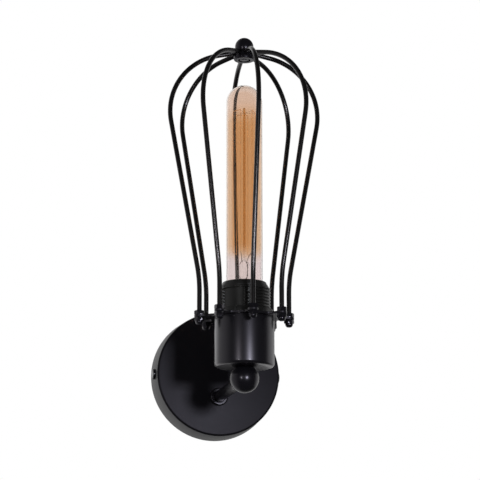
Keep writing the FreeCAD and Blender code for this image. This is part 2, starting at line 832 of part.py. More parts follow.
def cage_hub():
    """Flanged hub with a hole for each wire and one for the stud."""
    low, top = hub_low(), hub_top()
    shelf = low + flange_h
    small = (flange_r - boss_r) * shelf_round
    body = turned([(0, low), (flange_r, low), (flange_r, shelf), (boss_r, shelf), (boss_r, top), (0, top)],
                  [0, flange_round, small, small, small, 0])
    cuts = [Part.makeCylinder(stud_r + running, hub_h, V(0, 0, low)),
            Part.makeCylinder(hub_washer_r + fit_clear, recess_h, V(0, 0, low))]
    for azimuth in wire_azimuths():
        inner = polar(wire_end_r - running, azimuth, crown_z(wire_end_r - running))
        outer = polar(cage_ring_r, azimuth, crown_z(cage_ring_r))
        cuts.append(rod(inner, outer, wire_r + running))
    return at_lamp(body.cut(cuts))


def finial_centre():
    """Height of the finial ball's centre."""
    return hub_top() + finial_seat


def finial_ball():
    """Ball on top of the hub, flat where it sits, with a blind hole for the stud."""
    centre = finial_centre()
    ball = Part.makeSphere(finial_r, V(0, 0, centre))
    below = Part.makeCylinder(2 * finial_r, finial_r, V(0, 0, centre - finial_seat - finial_r))
    hole = Part.makeCylinder(stud_r + running, finial_seat + running, V(0, 0, centre - finial_seat))
    return at_lamp(ball.cut(below).cut(hole))


def hub_nut_low():
    """Underside of the nut in the hub, which leaves room over the lamp for unscrewing it."""
    return lamp_z(glass_len) + lamp_room + stud_past_nut


def hub_stud():
    """Stud that draws the finial ball down on the hub."""
    low = hub_nut_low() - stud_past_nut
    return at_lamp(Part.makeCylinder(stud_r, finial_centre() - low, V(0, 0, low)))


def hub_washer():
    """Washer in the hub's recess."""
    return at_lamp(ring(hub_washer_r, stud_r + running, hub_low() + recess_h - hub_washer_t, hub_washer_t))


def hub_nut():
    """Nut under the hub."""
    return at_lamp(hex_nut(hub_nut_flats, stud_r + running, hub_nut_low(), hub_nut_h))


# ---- lamp ----

def lamp_z(above_tip):
    """Height of a place on the lamp."""
    return tip_z + above_tip


def bulb_glass():
    """Tubular glass with a round top, open at its neck."""
    top = lamp_z(glass_len)
    shoulder, neck, low = lamp_z(glass_shoulder), lamp_z(glass_neck_high), lamp_z(glass_neck_low)
    outer = [(0, top), (glass_r, top), (glass_r, shoulder),
             (glass_neck_r, neck), (glass_neck_r, low), (0, low)]
    r_in = glass_r - glass_wall
    neck_in = glass_neck_r - glass_wall
    inner = [(0, top - glass_wall), (r_in, top - glass_wall), (r_in, shoulder + glass_wall),
             (neck_in, neck + glass_wall), (neck_in, low), (0, low)]
    solid = turned(outer, [0, glass_r, 0, 0, 0, 0])
    hollow = turned(inner, [0, r_in, 0, 0, 0, 0])
    return at_lamp(solid.cut(hollow))


def bulb_stem():
    """Glass stem: a flare in the neck, a pinch and a long rod."""
    low = lamp_z(glass_neck_low)
    flare_r = glass_neck_r - glass_wall - running
    flare = turned([(0, low), (flare_r, low), (flare_r, low + stem_flare_h), (stem_r, lamp_z(stem_neck)),
                    (stem_r, lamp_z(stem_top - stem_r)), (0, lamp_z(stem_top - stem_r))])
    pinch_h = stem_top - stem_neck
    pinch = Part.makeBox(pinch_w, pinch_t, pinch_h, V(-pinch_w / 2, -pinch_t / 2, lamp_z(stem_neck)))
    rod_len = glass_len - rod_below_top - stem_neck
    long_rod = Part.makeCylinder(rod_r, rod_len, V(0, 0, lamp_z(stem_neck)))
    return at_lamp(flare.fuse([pinch, long_rod]).removeSplitter())


def strand_foot():
    """Lower end of the filament, above the lamp's tip."""
    return stem_top + strand_over_stem


def strand_top():
    """Upper end of the filament, above the lamp's tip."""
    return glass_len - strand_below_top


def strand_places():
    """Azimuths of the filament's upright runs."""
    return [360 * (k + 0.5) / strand_count for k in range(strand_count)]


def bulb_filament():
    """One wire up and down round the rod."""
    points = []
    for k, azimuth in enumerate(strand_places()):
        ends = [strand_foot(), strand_top()] if k % 2 == 0 else [strand_top(), strand_foot()]
        points += [polar(strand_ring_r, azimuth, lamp_z(end)) for end in ends]
    runs = [rod(a, b, strand_r) for a, b in zip(points, points[1:])]
    knees = [Part.makeSphere(strand_r, p) for p in points]
    return at_lamp(runs[0].fuse(runs[1:] + knees).removeSplitter())


def bulb_supports():
    """Hooks from the rod's top to the filament, and two lead-in wires from the pinch."""
    reach = strand_ring_r - strand_r - running
    gap = strand_r + support_r + running
    spoke_z = lamp_z(strand_top()) - gap
    spokes = [rod(polar(rod_r + running, a, spoke_z), polar(reach, a, spoke_z), support_r)
              for a in strand_places()]
    low_ends = [strand_places()[0], strand_places()[-1]]
    leads = []
    for side, azimuth in zip((1, -1), low_ends):
        foot = V(side * pinch_w / 4, 0, lamp_z(stem_top) + support_r)
        top = polar(strand_ring_r, azimuth, lamp_z(strand_foot()) - gap - support_r)
        leads.append(rod(foot, top, support_r))
    return at_lamp(group(spokes + leads))


def bulb_cap():
    """Thin screw cap of the lamp."""
    low = lamp_z(cap_low)
    cone = lamp_z(cap_cone_low)
    top, inner = lamp_z(cap_high), cap_root_r - cap_wall
    body = turned([(cap_root_r, top), (cap_root_r, low), (cap_mouth_r + cap_wall, cone), (cap_mouth_r, cone),
                   (cap_mouth_r, cone + cap_wall), (inner, low + cap_wall), (inner, top)])
    turns = math.floor((cap_ridge_high - cap_ridge_low) / cap_pitch)
    ridge = thread_ridge(cap_root_r, cap_crest_r, cap_pitch, lamp_z(cap_ridge_low),
                         lamp_z(cap_ridge_low) + turns * cap_pitch, cap_ridge_base, cap_ridge_crest)
    return at_lamp(body.fuse(ridge).removeSplitter())


def bulb_insulator():
    """Black glass ring between the cap and the tip."""
    low, top, inner = lamp_z(insulator_low), lamp_z(insulator_high), tip_stem_r + running
    return at_lamp(turned([(inner, low), (insulator_tip_r, low), (insulator_r, lamp_z(cap_cone_low)),
                           (insulator_r, top), (inner, top)]))


def bulb_tip():
    """Centre contact of the lamp."""
    return at_lamp(turned([(0, tip_z), (tip_flat_r, tip_z), (tip_r, lamp_z(tip_flat_rise)),
                           (tip_r, lamp_z(insulator_low)), (tip_stem_r, lamp_z(insulator_low)),
                           (tip_stem_r, lamp_z(tip_stem_top)), (0, lamp_z(tip_stem_top))]))


NODES = {
    "wall_bracket": wall_bracket, "earth_screw": earth_screw, "earth_tag": earth_tag, "canopy": canopy,
    "canopy_side_screws": canopy_side_screws, "terminal_block": terminal_block,
    "terminal_block_screws": terminal_block_screws, "terminal_fixing_screw": terminal_fixing_screw,
    "stop_pin": stop_pin, "canopy_lead": canopy_lead,
    "arm_tube": arm_tube, "arm_collar": arm_collar, "arm_spring_washer": arm_spring_washer,
    "arm_stop_washer": arm_stop_washer, "arm_lock_nut": arm_lock_nut, "swivel_ball": swivel_ball,
    "head_nipple": head_nipple, "nipple_washer": nipple_washer, "nipple_nut": nipple_nut,
    "socket_cup": socket_cup, "holder_base": holder_base, "holder_body": holder_body,
    "holder_screw_shell": holder_screw_shell, "shell_lug": shell_lug,
    "holder_centre_contact": holder_centre_contact, "holder_terminals": holder_terminals,
    "holder_terminal_screws": holder_terminal_screws, "head_lead": head_lead,
    "holder_ring_nut": holder_ring_nut, "cage_ring": cage_ring, "cage_upper_nuts": cage_upper_nuts,
    "cage_cap_nuts": cage_cap_nuts, "cage_hub": cage_hub, "hub_stud": hub_stud, "hub_washer": hub_washer,
    "hub_nut": hub_nut, "finial_ball": finial_ball,
    "bulb_glass": bulb_glass, "bulb_stem": bulb_stem, "bulb_filament": bulb_filament,
    "bulb_supports": bulb_supports, "bulb_cap": bulb_cap, "bulb_insulator": bulb_insulator,
    "bulb_tip": bulb_tip,
}


def main():
    """Build each node and write its file."""
    os.makedirs("parts", exist_ok=True)
    for name, build in NODES.items():
        write(name, build())
    for k, azimuth in enumerate(wire_azimuths()):
        write("cage_wire_%d" % (k + 1), cage_wire(azimuth))


def write(name, shape):
    """Write one node and print its size."""
    shape.exportStep("parts/%s.step" % name)
    box = shape.BoundBox
    print("%-24s solids %d valid %s volume %9.1f  z %7.2f..%7.2f y %7.2f..%7.2f" % (
        name, len(shape.Solids), shape.isValid(), shape.Volume, box.ZMin, box.ZMax, box.YMin, box.YMax))


main()
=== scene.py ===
# %% [markdown]
# # A wall light with a wire cage
#
# This lesson dresses an engineering model of a wall light in Blender. The light has a round canopy on
# the wall, an arm with a ball, a socket cup, a threaded lampholder, a flat ring with eight wires that
# close in a hub, and a long tubular lamp with an amber tint. The engineering model says where every
# piece is. It is loaded first and stays as it is. Each piece that shows is then drawn again as a
# smooth surface in the same place, and every piece gets a finish made of nodes.

# %% The fixed frame
import json
import math

import bmesh
import bpy
import numpy as np
from mathutils import Matrix, Vector


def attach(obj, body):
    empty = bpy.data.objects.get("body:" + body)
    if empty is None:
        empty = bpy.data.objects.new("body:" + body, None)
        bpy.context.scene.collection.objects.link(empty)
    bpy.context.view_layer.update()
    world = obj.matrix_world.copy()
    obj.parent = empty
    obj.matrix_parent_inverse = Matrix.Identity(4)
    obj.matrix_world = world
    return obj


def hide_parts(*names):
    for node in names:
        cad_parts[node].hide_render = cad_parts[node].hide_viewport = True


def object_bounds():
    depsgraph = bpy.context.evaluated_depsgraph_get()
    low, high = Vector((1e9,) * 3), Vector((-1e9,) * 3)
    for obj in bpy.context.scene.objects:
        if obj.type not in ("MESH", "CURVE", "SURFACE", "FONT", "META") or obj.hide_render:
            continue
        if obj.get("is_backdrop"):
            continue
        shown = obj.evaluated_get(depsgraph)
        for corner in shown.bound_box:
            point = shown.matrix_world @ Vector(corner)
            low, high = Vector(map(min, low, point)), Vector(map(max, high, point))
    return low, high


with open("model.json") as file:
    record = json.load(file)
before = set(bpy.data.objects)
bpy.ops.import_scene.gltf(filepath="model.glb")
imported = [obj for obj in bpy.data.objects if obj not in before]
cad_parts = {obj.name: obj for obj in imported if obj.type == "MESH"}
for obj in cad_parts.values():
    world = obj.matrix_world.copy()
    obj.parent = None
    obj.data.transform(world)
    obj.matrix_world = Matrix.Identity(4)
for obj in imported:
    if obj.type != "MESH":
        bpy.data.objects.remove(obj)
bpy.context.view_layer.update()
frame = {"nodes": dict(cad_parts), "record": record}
mm = 0.001


def corners():
    """Lowest and highest corner of what shows, as plain lists of numbers."""
    return [[float(c) for c in corner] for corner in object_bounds()]


# %% [markdown]
# ## Where the light stands
#
# Lengths are written in millimetres, as a maker would give them, and turned into metres when a mesh is
# made. The wall is the plane y = 0, up is +Z and the light stands out towards -Y. Three places carry
# everything: the canopy's axis on the wall, the arm below it, and the upright axis of the lamp in front.

# %% The three axes
LAMP_OUT = 125.0
ARM_Z = -19.0


def at_lamp(x, y, z):
    """Points drawn about Z, moved out to the lamp's axis."""
    return np.stack(np.broadcast_arrays(x, y - LAMP_OUT, z), -1)


def on_wall(x, y, z):
    """Points drawn about Z, laid down so that their height points out from the wall."""
    return np.stack(np.broadcast_arrays(x, -z, y), -1)


def on_arm(x, y, z):
    """Points drawn about Z, laid down along the arm."""
    return np.stack(np.broadcast_arrays(x, -z, y + ARM_Z), -1)


print("lamp axis", LAMP_OUT, "mm from the wall, arm", -ARM_Z, "mm below the canopy's centre")

# %% [markdown]
# ## The camera
#
# The photograph was taken from a little to the left of the light and from below it, from about a metre
# and a half. A long lens at that distance keeps the wires nearly parallel. The lens follows from how
# many pixels a unit of width covers at a unit of distance. The camera is built first, so that
# everything after it can be compared with the photograph.

# %% The camera at the photograph's viewpoint
PIXELS = 480
FOCAL_PIXELS = 1861.4
SENSOR = 36.0              # millimetres
TARGET = Vector((0, -LAMP_OUT, 28.71)) * mm
CAMERA_PLACE = (-12.1, -10.7)      # azimuth and elevation seen from the target
CAMERA_BACK = (-11.963, -13.08)    # azimuth and elevation that its back points to
CAMERA_AWAY = 1.43925      # metres
NEAR, FAR = 0.05, 50       # metres


def direction(azimuth, elevation):
    """Unit vector: azimuth counts from -Y towards +X, elevation from the horizon up, in degrees."""
    a, e = math.radians(azimuth), math.radians(elevation)
    return Vector((math.sin(a) * math.cos(e), -math.cos(a) * math.cos(e), math.sin(e)))


def add_camera():
    """Camera whose back points along one direction, and which stands along another from the target."""
    lens = bpy.data.cameras.new("camera")
    lens.sensor_width = SENSOR
    lens.lens = SENSOR * FOCAL_PIXELS / PIXELS
    lens.clip_start, lens.clip_end = NEAR, FAR
    camera = bpy.data.objects.new("camera", lens)
    back = direction(*CAMERA_BACK)
    across = Vector((0, 0, 1)).cross(back).normalized()
    turn = Matrix((across, back.cross(across), back)).transposed()
    place = TARGET + direction(*CAMERA_PLACE) * CAMERA_AWAY
    camera.matrix_world = Matrix.Translation(place) @ turn.to_4x4()
    bpy.context.scene.collection.objects.link(camera)
    bpy.context.scene.camera = camera
    return camera


camera = add_camera()
print("camera at", [round(c, 4) for c in camera.matrix_world.translation], "lens", round(camera.data.lens, 1))

# %% [markdown]
# ## Shader maths as Python
#
# A finish is a small calculation: noise plus dust, times wear. In the node editor each step is a box
# with wires. Here one class wraps a node's output, and Python's own operators add the boxes. A number
# stays a number until it meets a wire. Colours and vectors have their own nodes, so they go through
# the same method that adds any other node.

# %% One class for wires
class Wire:
    """An output of a node, which works in expressions like a number."""

    def __init__(self, nodes, socket):
        self.nodes, self.socket = nodes, socket

    def maths(self, operation, *others):
        """A Math node with this wire first."""
        inputs = dict(enumerate((self,) + others))
        return self.nodes.add("Math", {"operation": operation}, inputs)

    def __add__(self, other): return self.maths("ADD", other)
    def __sub__(self, other): return self.maths("SUBTRACT", other)
    def __mul__(self, other): return self.maths("MULTIPLY", other)
    def __rsub__(self, other): return (self * -1.0) + other

    def step(self, low, high):
        """0 below low, 1 above high and a smooth rise between them."""
        settings = {"interpolation_type": "SMOOTHSTEP"}
        inputs = {"Value": self, "From Min": low, "From Max": high}
        return self.nodes.add("MapRange", settings, inputs)


class Nodes:
    """The nodes of one material, or of the world."""

    def __init__(self, owner):
        owner.use_nodes = True
        self.owner, self.tree = owner, owner.node_tree
        self.tree.nodes.clear()

    def add(self, kind, settings=None, inputs=None, out=0):
        """A node of a kind: first its settings, then the values or links of its sockets; gives an output."""
        node = self.tree.nodes.new("ShaderNode" + kind)
        for name, value in (settings or {}).items():
            setattr(node, name, value)
        for name, value in (inputs or {}).items():
            if isinstance(value, Wire):
                self.tree.links.new(value.socket, node.inputs[name])
            else:
                node.inputs[name].default_value = value
        return Wire(self, node.outputs[out])

    def coordinates(self):
        """Place on the object, in metres."""
        return self.add("TexCoord", out="Object")

    def noise(self, scale, detail=2.0, roughness=0.5):
        """Fractal noise from 0 to 1; its scale counts grains in a metre."""
        inputs = {"Vector": self.coordinates(), "Scale": scale, "Detail": detail, "Roughness": roughness}
        return self.add("TexNoise", None, inputs)

    def blend(self, share, first, second):
        """Colour that goes from the first to the second."""
        inputs = {0: share, 6: first, 7: second}
        return self.add("Mix", {"data_type": "RGBA"}, inputs, out=2)

    def bump(self, height, strength, distance):
        """Normal of a surface that this height raises."""
        return self.add("Bump", None, {"Height": height, "Strength": strength, "Distance": distance})


print("wires ready")

# %% [markdown]
# ## Black paint
#
# The canopy, cup and wires carry a black stove enamel. It isn't flat black: light shows a fine orange
# peel, roughness drifts a little from place to place, and a few specks of dust are caught in the film.
# One function makes the enamel at a given gloss, because the balls are polished before they are
# coated, the wires get a thinner film and the cup has a clear coat over it. The grain is measured in
# metres, so it is as fine on a wire as on the canopy.

# %% A finish with a shader's own constants
def finish(name, constants):
    """A new material with one main shader, whose sockets that stay the same are set on it."""
    nodes = Nodes(bpy.data.materials.new(name))
    nodes.main = nodes.tree.nodes.new("ShaderNodeBsdfPrincipled")
    out = nodes.tree.nodes.new("ShaderNodeOutputMaterial")
    nodes.tree.links.new(nodes.main.outputs[0], out.inputs["Surface"])
    for socket, value in constants.items():
        nodes.main.inputs[socket].default_value = value
    return nodes


def feed(nodes, **wires):
    """Links wires to the main shader's sockets; an underscore stands for a space. Gives the material."""
    for socket, wire in wires.items():
        nodes.tree.links.new(wire.socket, nodes.main.inputs[socket.replace("_", " ")])
    return nodes.owner


def grey(level, warmth=0.0):
    """A grey that leans to red where warmth is above 0 and to blue below it."""
    return (level * (1 + warmth), level, level * (1 - warmth), 1)


def ink(level, blue):
    """A black that leans a little to violet, and as far to blue as is asked."""
    return (level, level * 0.94, level * blue, 1)


INK = 0.0045               # how much light the enamel's colour gives back
CLOUD, PEEL, FINE, DUST = 35.0, 260.0, 900.0, 2600.0     # grains in a metre
FILM = 0.00003             # height of a surface grain, in metres


def enamel(name, gloss, peel, blue=1.25, shine=0.5, coat=0.0):
    """Black enamel: colour, roughness and bump all drift with noise; some have a thin clear coat."""
    tint = (0.93, 0.87, min(blue, 1.0), 1)
    nodes = finish(name, {"Specular IOR Level": shine, "Specular Tint": tint, "IOR": 1.5,
                          "Coat Weight": coat, "Coat Roughness": 0.08})
    cloud = nodes.noise(CLOUD, 3.0)
    fine = nodes.noise(FINE, 2.0)
    speck = nodes.noise(DUST, 1.0).step(0.74, 0.8)
    colour = nodes.blend(cloud, ink(INK * 0.8, blue), ink(INK * 1.2, blue))
    colour = nodes.blend(speck * 0.5, colour, grey(INK * 4))
    rough = (cloud - 0.5) * 0.06 + (fine - 0.5) * 0.05 + speck * 0.2 + gloss
    film = nodes.bump(fine + nodes.noise(PEEL, 1.0) * 1.5 + speck * 0.6, peel, FILM)
    return feed(nodes, Base_Color=colour, Roughness=rough, Normal=film)


satin = enamel("satin_enamel", 0.3, 0.12, coat=0.25)
matt = enamel("matt_enamel", 0.4, 0.12, shine=0.16)
gloss = enamel("gloss_enamel", 0.26, 0.1, shine=0.4)
polish = enamel("nut_enamel", 0.12, 0.05)
wire_coat = enamel("wire_enamel", 0.2, 0.2, 0.9)
print("enamels:", satin.name, matt.name, gloss.name, polish.name, wire_coat.name)

# %% [markdown]
# ## Moulded black and the metals
#
# The lampholder is moulded in a black phenolic, which shows cloudy flow marks and a duller shine than
# paint. Behind the canopy are zinc plated steel, brass and white plastic. Zinc has soft patches and brass
# darkens where it was handled. The same node sum serves all the metals with other numbers.

# %% Moulding, metals, sheath and black glass
METAL_PATCH, METAL_GRAIN = 120.0, 0.00002       # patches in a metre; height of a grain in metres


def phenolic():
    """Moulded black: slow flow marks in colour and roughness over a fine pitted skin."""
    nodes = finish("black_phenolic", {"Specular IOR Level": 0.35, "IOR": 1.55})
    flow = nodes.noise(60.0, 4.0, 0.6)
    pits = nodes.noise(1500.0, 2.0)
    colour = nodes.blend(flow, grey(0.006, 0.02), grey(0.012, 0.05))
    rough = (flow - 0.5) * 0.16 + (pits - 0.5) * 0.06 + 0.3
    return feed(nodes, Base_Color=colour, Roughness=rough, Normal=nodes.bump(pits, 0.35, FILM))


def metal(name, dark, bright, gloss, grain):
    """Bare metal: patches from dark to bright, duller where it is dark, with a fine grain."""
    nodes = finish(name, {"Metallic": 1.0})
    cloud = nodes.noise(METAL_PATCH, 3.0, 0.6)
    fine = nodes.noise(grain, 2.0)
    colour = nodes.blend(cloud.step(0.3, 0.7), dark, bright)
    rough = (0.6 - cloud) * 0.2 + (fine - 0.5) * 0.1 + gloss
    return feed(nodes, Base_Color=colour, Roughness=rough, Normal=nodes.bump(fine, 0.3, METAL_GRAIN))


def plastic(name, dark, bright, gloss, grain):
    """Moulded plastic or rubber: a faint cloud of colour over a fine skin."""
    nodes = finish(name, {"Specular IOR Level": 0.5})
    cloud = nodes.noise(150.0, 3.0)
    fine = nodes.noise(grain, 2.0)
    rough = (fine - 0.5) * 0.1 + gloss
    return feed(nodes, Base_Color=nodes.blend(cloud, dark, bright), Roughness=rough,
                Normal=nodes.bump(fine, 0.3, FILM))


moulded = phenolic()
zinc = metal("zinc_plate", (0.42, 0.43, 0.45, 1), (0.62, 0.63, 0.65, 1), 0.34, 1800.0)
brass = metal("plain_brass", (0.52, 0.36, 0.14, 1), (0.78, 0.60, 0.28, 1), 0.28, 2200.0)
nickel = metal("nickel_cap", (0.55, 0.53, 0.49, 1), (0.74, 0.73, 0.70, 1), 0.22, 2400.0)
white = plastic("white_plastic", (0.74, 0.74, 0.71, 1), (0.82, 0.82, 0.80, 1), 0.42, 1600.0)
sheath = plastic("lead_sheath", grey(0.03), grey(0.045), 0.55, 1200.0)
black_glass = plastic("black_glass", grey(0.012, -0.1), grey(0.02, -0.1), 0.12, 900.0)
print("finishes behind the canopy and in the holder:", len(bpy.data.materials))

# %% [markdown]
# ## Amber glass
#
# The lamp is a straight glass tube. Near its neck the glass is clear with a pinkish cast; from a little
# above the holder to just under the dome it is amber, deepest where one looks straight through it. Each
# sight line goes through the tube's wall twice, so the colour of one wall is the square root of what
# comes out. Layer Weight gives the share of the surface that faces away, which lightens the edges as
# the coating does on the real tube.

# %% The lamp's glass, its stem and the filament
TIP_Z = 25.71              # lamp's tip
AMBER_LOW, AMBER_HIGH = TIP_Z + 54.0, TIP_Z + 168.0
LOW_FADE, HIGH_FADE, ROD_FADE = (-8, 6), (-10, 8), (0, 8)      # the coating's soft ends, in millimetres
EDGE_FADE = (0.18, 0.36)   # how far a wall has turned away where its colour changes
SMOKE = 0.006              # the coating's ends wander this far, in metres


def one_pass(total):
    """Colour of one wall of the tube: the square root of the colour after both of them."""
    return tuple(math.sqrt(c) for c in total) + (1,)


def fade(height, level, ends):
    """0 below a level, in millimetres, and 1 above it, with a soft end on each side."""
    low, high = ends
    return height.step((level + low) * mm, (level + high) * mm)


def amber_glass():
    """Tinted glass: clear below, amber in the middle, beige in the dome, lighter towards its edges."""
    nodes = finish("amber_glass", {"Transmission Weight": 1.0, "IOR": 1.45, "Roughness": 0.02})
    place = nodes.add("SeparateXYZ", None, {0: nodes.coordinates()}, out=2)
    smoke = nodes.noise(40.0, 2.0)
    height = place + (smoke - 0.5) * SMOKE
    coated = fade(height, AMBER_LOW, LOW_FADE)
    dome = fade(height, AMBER_HIGH, HIGH_FADE)
    edge = nodes.add("LayerWeight", None, {"Blend": 0.5}, out="Facing").step(*EDGE_FADE)
    amber = nodes.blend(edge, one_pass((0.55, 0.27, 0.11)), one_pass((0.78, 0.62, 0.54)))
    beige = nodes.blend(edge, one_pass((0.69, 0.47, 0.35)), one_pass((0.79, 0.64, 0.56)))
    clear = one_pass((0.71, 0.59, 0.58))
    colour = nodes.blend(coated, clear, nodes.blend(dome, amber, beige))
    return feed(nodes, Base_Color=colour)


def stem_glass():
    """Clear glass of the stem with a few bubbles in its skin; the rod above it is coated amber."""
    nodes = finish("stem_glass", {"Transmission Weight": 1.0, "IOR": 1.5, "Roughness": 0.03})
    height = nodes.add("SeparateXYZ", None, {0: nodes.coordinates()}, out=2)
    coated = fade(height, AMBER_LOW, ROD_FADE)
    clear = nodes.blend(nodes.noise(90.0), (0.93, 0.90, 0.86, 1), (0.97, 0.95, 0.92, 1))
    colour = nodes.blend(coated, clear, (0.80, 0.57, 0.28, 1))
    return feed(nodes, Base_Color=colour, Normal=nodes.bump(nodes.noise(500.0), 0.6, 0.0002))


# Painted glow: these wires emit light of their own colour, though no current runs through them and the lamp
# is not lit.
def glowing_wire_metal(name, dark, bright, glow):
    """Oxidised wire: dark with brighter stretches along its length, and a painted glow of that same colour.
    """
    nodes = finish(name, {"Metallic": 0.2, "Emission Strength": glow})
    along = nodes.noise(300.0, 3.0)
    colour = nodes.blend(along, dark, bright)
    return feed(nodes, Base_Color=colour, Roughness=along * 0.3 + 0.3, Emission_Color=colour)


tube_glass = amber_glass()
rod_glass = stem_glass()
# Painted glow by emission on both wires: 0.3 on the filament, 0.05 on the supports.
strand = glowing_wire_metal("filament", (0.60, 0.30, 0.12, 1), (0.95, 0.60, 0.28, 1), 0.3)
support = glowing_wire_metal("support_wire", (0.10, 0.08, 0.06, 1), (0.40, 0.34, 0.28, 1), 0.05)
print("glasses:", tube_glass.name, rod_glass.name)

# %% [markdown]
# ## Surfaces from grids of points
#
# Every new piece is a surface worked out as an array: rows run along a profile or a path, columns run
# around it. Four neighbouring points make a face. Where a row shrinks to a pole, or a seam meets itself,
# the points fall together and are merged once, and then the faces are turned outward. Edges sharper
# than a given angle stay crisp and all others shade smoothly.

# %% From grids to a piece
MERGE = 1e-6               # points closer than this are one, in metres


def grid(points, wrap_rows=False):
    """Points and quads of a grid whose columns close round; wrapped rows join their end to their start."""
    rows, columns = points.shape[:2]
    i = np.arange(rows if wrap_rows else rows - 1)[:, None]
    j = np.arange(columns)[None, :]
    i2, j2 = (i + 1) % rows, (j + 1) % columns
    quads = np.stack([i * columns + j, i * columns + j2, i2 * columns + j2, i2 * columns + j], -1)
    return points.reshape(-1, 3), quads.reshape(-1, 4)


def piece(name, parts, material, slot, body, *nodes, crease=32):
    """One mesh of several grids, in place, on its body, standing for its nodes."""
    starts = np.cumsum([0] + [len(points) for points, _ in parts])
    points = np.concatenate([points for points, _ in parts]) * mm
    quads = np.concatenate([quads + start for (_, quads), start in zip(parts, starts)])
    mesh = bpy.data.meshes.new(name)
    mesh.from_pydata(points.tolist(), [], quads.tolist())
    work = bmesh.new()
    work.from_mesh(mesh)
    bmesh.ops.remove_doubles(work, verts=work.verts, dist=MERGE)
    bmesh.ops.recalc_face_normals(work, faces=work.faces)
    work.to_mesh(mesh)
    work.free()
    mesh.shade_smooth()
    mesh.set_sharp_from_angle(angle=math.radians(crease))
    mesh.materials.append(material)
    made = bpy.data.objects.new(name, mesh)
    bpy.context.scene.collection.objects.link(made)
    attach(made, body)
    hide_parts(*nodes)
    print(name, len(mesh.polygons), "faces")


# %% [markdown]
# ## Profiles with rounded corners
#
# Sheet metal and turned parts have no perfectly sharp corners. A profile is given as its corner points
# with a radius for each, and every corner is replaced with an arc that touches both its sides. The arc's
# centre lies on the corner's bisector at the radius divided by the sine of half the angle.

# %% Rounded outlines, turned surfaces and tubes
TINY = 1e-9                # keeps a division away from zero
SAME_POINT = 1e-5          # millimetres


def rounded(points, radii, steps=6, closed=True):
    """Outline whose corners are arcs: each arc is swept about its centre from one side to the other."""
    corner = np.array(points, float)
    radius = np.array(radii, float)[:, None]
    back, ahead = np.roll(corner, 1, 0) - corner, np.roll(corner, -1, 0) - corner
    back = back / np.linalg.norm(back, axis=1, keepdims=True)
    ahead = ahead / np.linalg.norm(ahead, axis=1, keepdims=True)
    half = np.arccos(np.clip((back * ahead).sum(1, keepdims=True), -1, 1)) / 2
    if not closed:
        radius[[0, -1]] = 0
    middle = back + ahead
    length = np.linalg.norm(middle, axis=1, keepdims=True)
    centre = corner + middle / np.maximum(length, TINY) * radius / np.maximum(np.sin(half), TINY)
    first = corner + back * radius / np.maximum(np.tan(half), TINY) - centre
    last = corner + ahead * radius / np.maximum(np.tan(half), TINY) - centre
    cross = first[:, 0] * last[:, 1] - first[:, 1] * last[:, 0]
    sweep = np.arctan2(cross, (first * last).sum(1))[:, None] * np.linspace(0, 1, steps + 1)
    x = first[:, :1] * np.cos(sweep) - first[:, 1:] * np.sin(sweep)
    y = first[:, :1] * np.sin(sweep) + first[:, 1:] * np.cos(sweep)
    line = (centre[:, None] + np.stack([x, y], -1)).reshape(-1, 2)
    step = np.linalg.norm(np.diff(line, axis=0), axis=1)
    return line[np.r_[True, step > SAME_POINT]]


def turned(profile, place, count=96):
    """Closed profile of (radius, height) carried round an axis."""
    around = np.linspace(0, 2 * np.pi, count, endpoint=False)
    radius, height = profile[:, :1], profile[:, 1:]
    return grid(place(radius * np.sin(around), -radius * np.cos(around), height), wrap_rows=True)


def tube(path, across, radius, place, sides=24):
    """Round bar: a circle at each point of the path, spanned by a vector across it and its own normal."""
    ahead = np.gradient(path, axis=0)
    ahead = ahead / np.linalg.norm(ahead, axis=1, keepdims=True)
    side = np.broadcast_to(across, path.shape)
    side = side - (side * ahead).sum(1, keepdims=True) * ahead
    side = side / np.linalg.norm(side, axis=1, keepdims=True)
    normal = np.cross(ahead, side)
    turn = np.linspace(0, 2 * np.pi, sides, endpoint=False)[None, :, None]
    rings = path[:, None] + radius * (np.cos(turn) * side[:, None] + np.sin(turn) * normal[:, None])
    start = np.broadcast_to(path[:1, None], (1, sides, 3))
    end = np.broadcast_to(path[-1:, None], (1, sides, 3))
    rings = np.concatenate([start, rings, end])
    return grid(place(rings[..., 0], rings[..., 1], rings[..., 2]))


def spin(points, azimuth):
    """Points turned about Z; azimuth counts from -Y towards +X, in degrees."""
    a = math.radians(azimuth)
    x, y, z = np.moveaxis(points, -1, 0)
    return np.stack([x * math.cos(a) - y * math.sin(a), x * math.sin(a) + y * math.cos(a), z], -1)


print("profile of a test square:", len(rounded([(0, 0), (9, 0), (9, 9), (0, 9)], [1] * 4)), "points")

# %% [markdown]
# ## The canopy
#
# The canopy is a shallow dish pressed from sheet steel. It hides the bracket and the wiring and is held
# by a screw at each side. Its wall widens a little towards the wall plate, and the press leaves a small
# radius round the face. The sheet is drawn with both its sides, so that the back view shows a hollow
# dish and not a solid disc.

# %% Canopy
SHEET, RIM_ROUND = 1.2, 0.3
CANOPY_R, FACE_R, DEPTH, EDGE_R = 52.3, 50.9, 24.8, 1.8

canopy_outline = rounded(
    [(0, DEPTH), (FACE_R, DEPTH), (CANOPY_R, 0), (CANOPY_R - SHEET, 0), (FACE_R - SHEET, DEPTH - SHEET),
     (0, DEPTH - SHEET)],
    [0, EDGE_R, RIM_ROUND, RIM_ROUND, EDGE_R - SHEET, 0], 8)
piece("canopy_dish", [turned(canopy_outline, on_wall, 192)], matt, "black_paint", "wall_side", "canopy")

# %% [markdown]
# ## The arm, its collar and the ball
#
# The arm is a short tube that leaves the canopy below its centre, with a rounded collar against the
# face. It ends in a polished ball that also carries the cup. The ball is a circle's arc carried round
# the lamp's axis, cut flat where the cup sits on it.

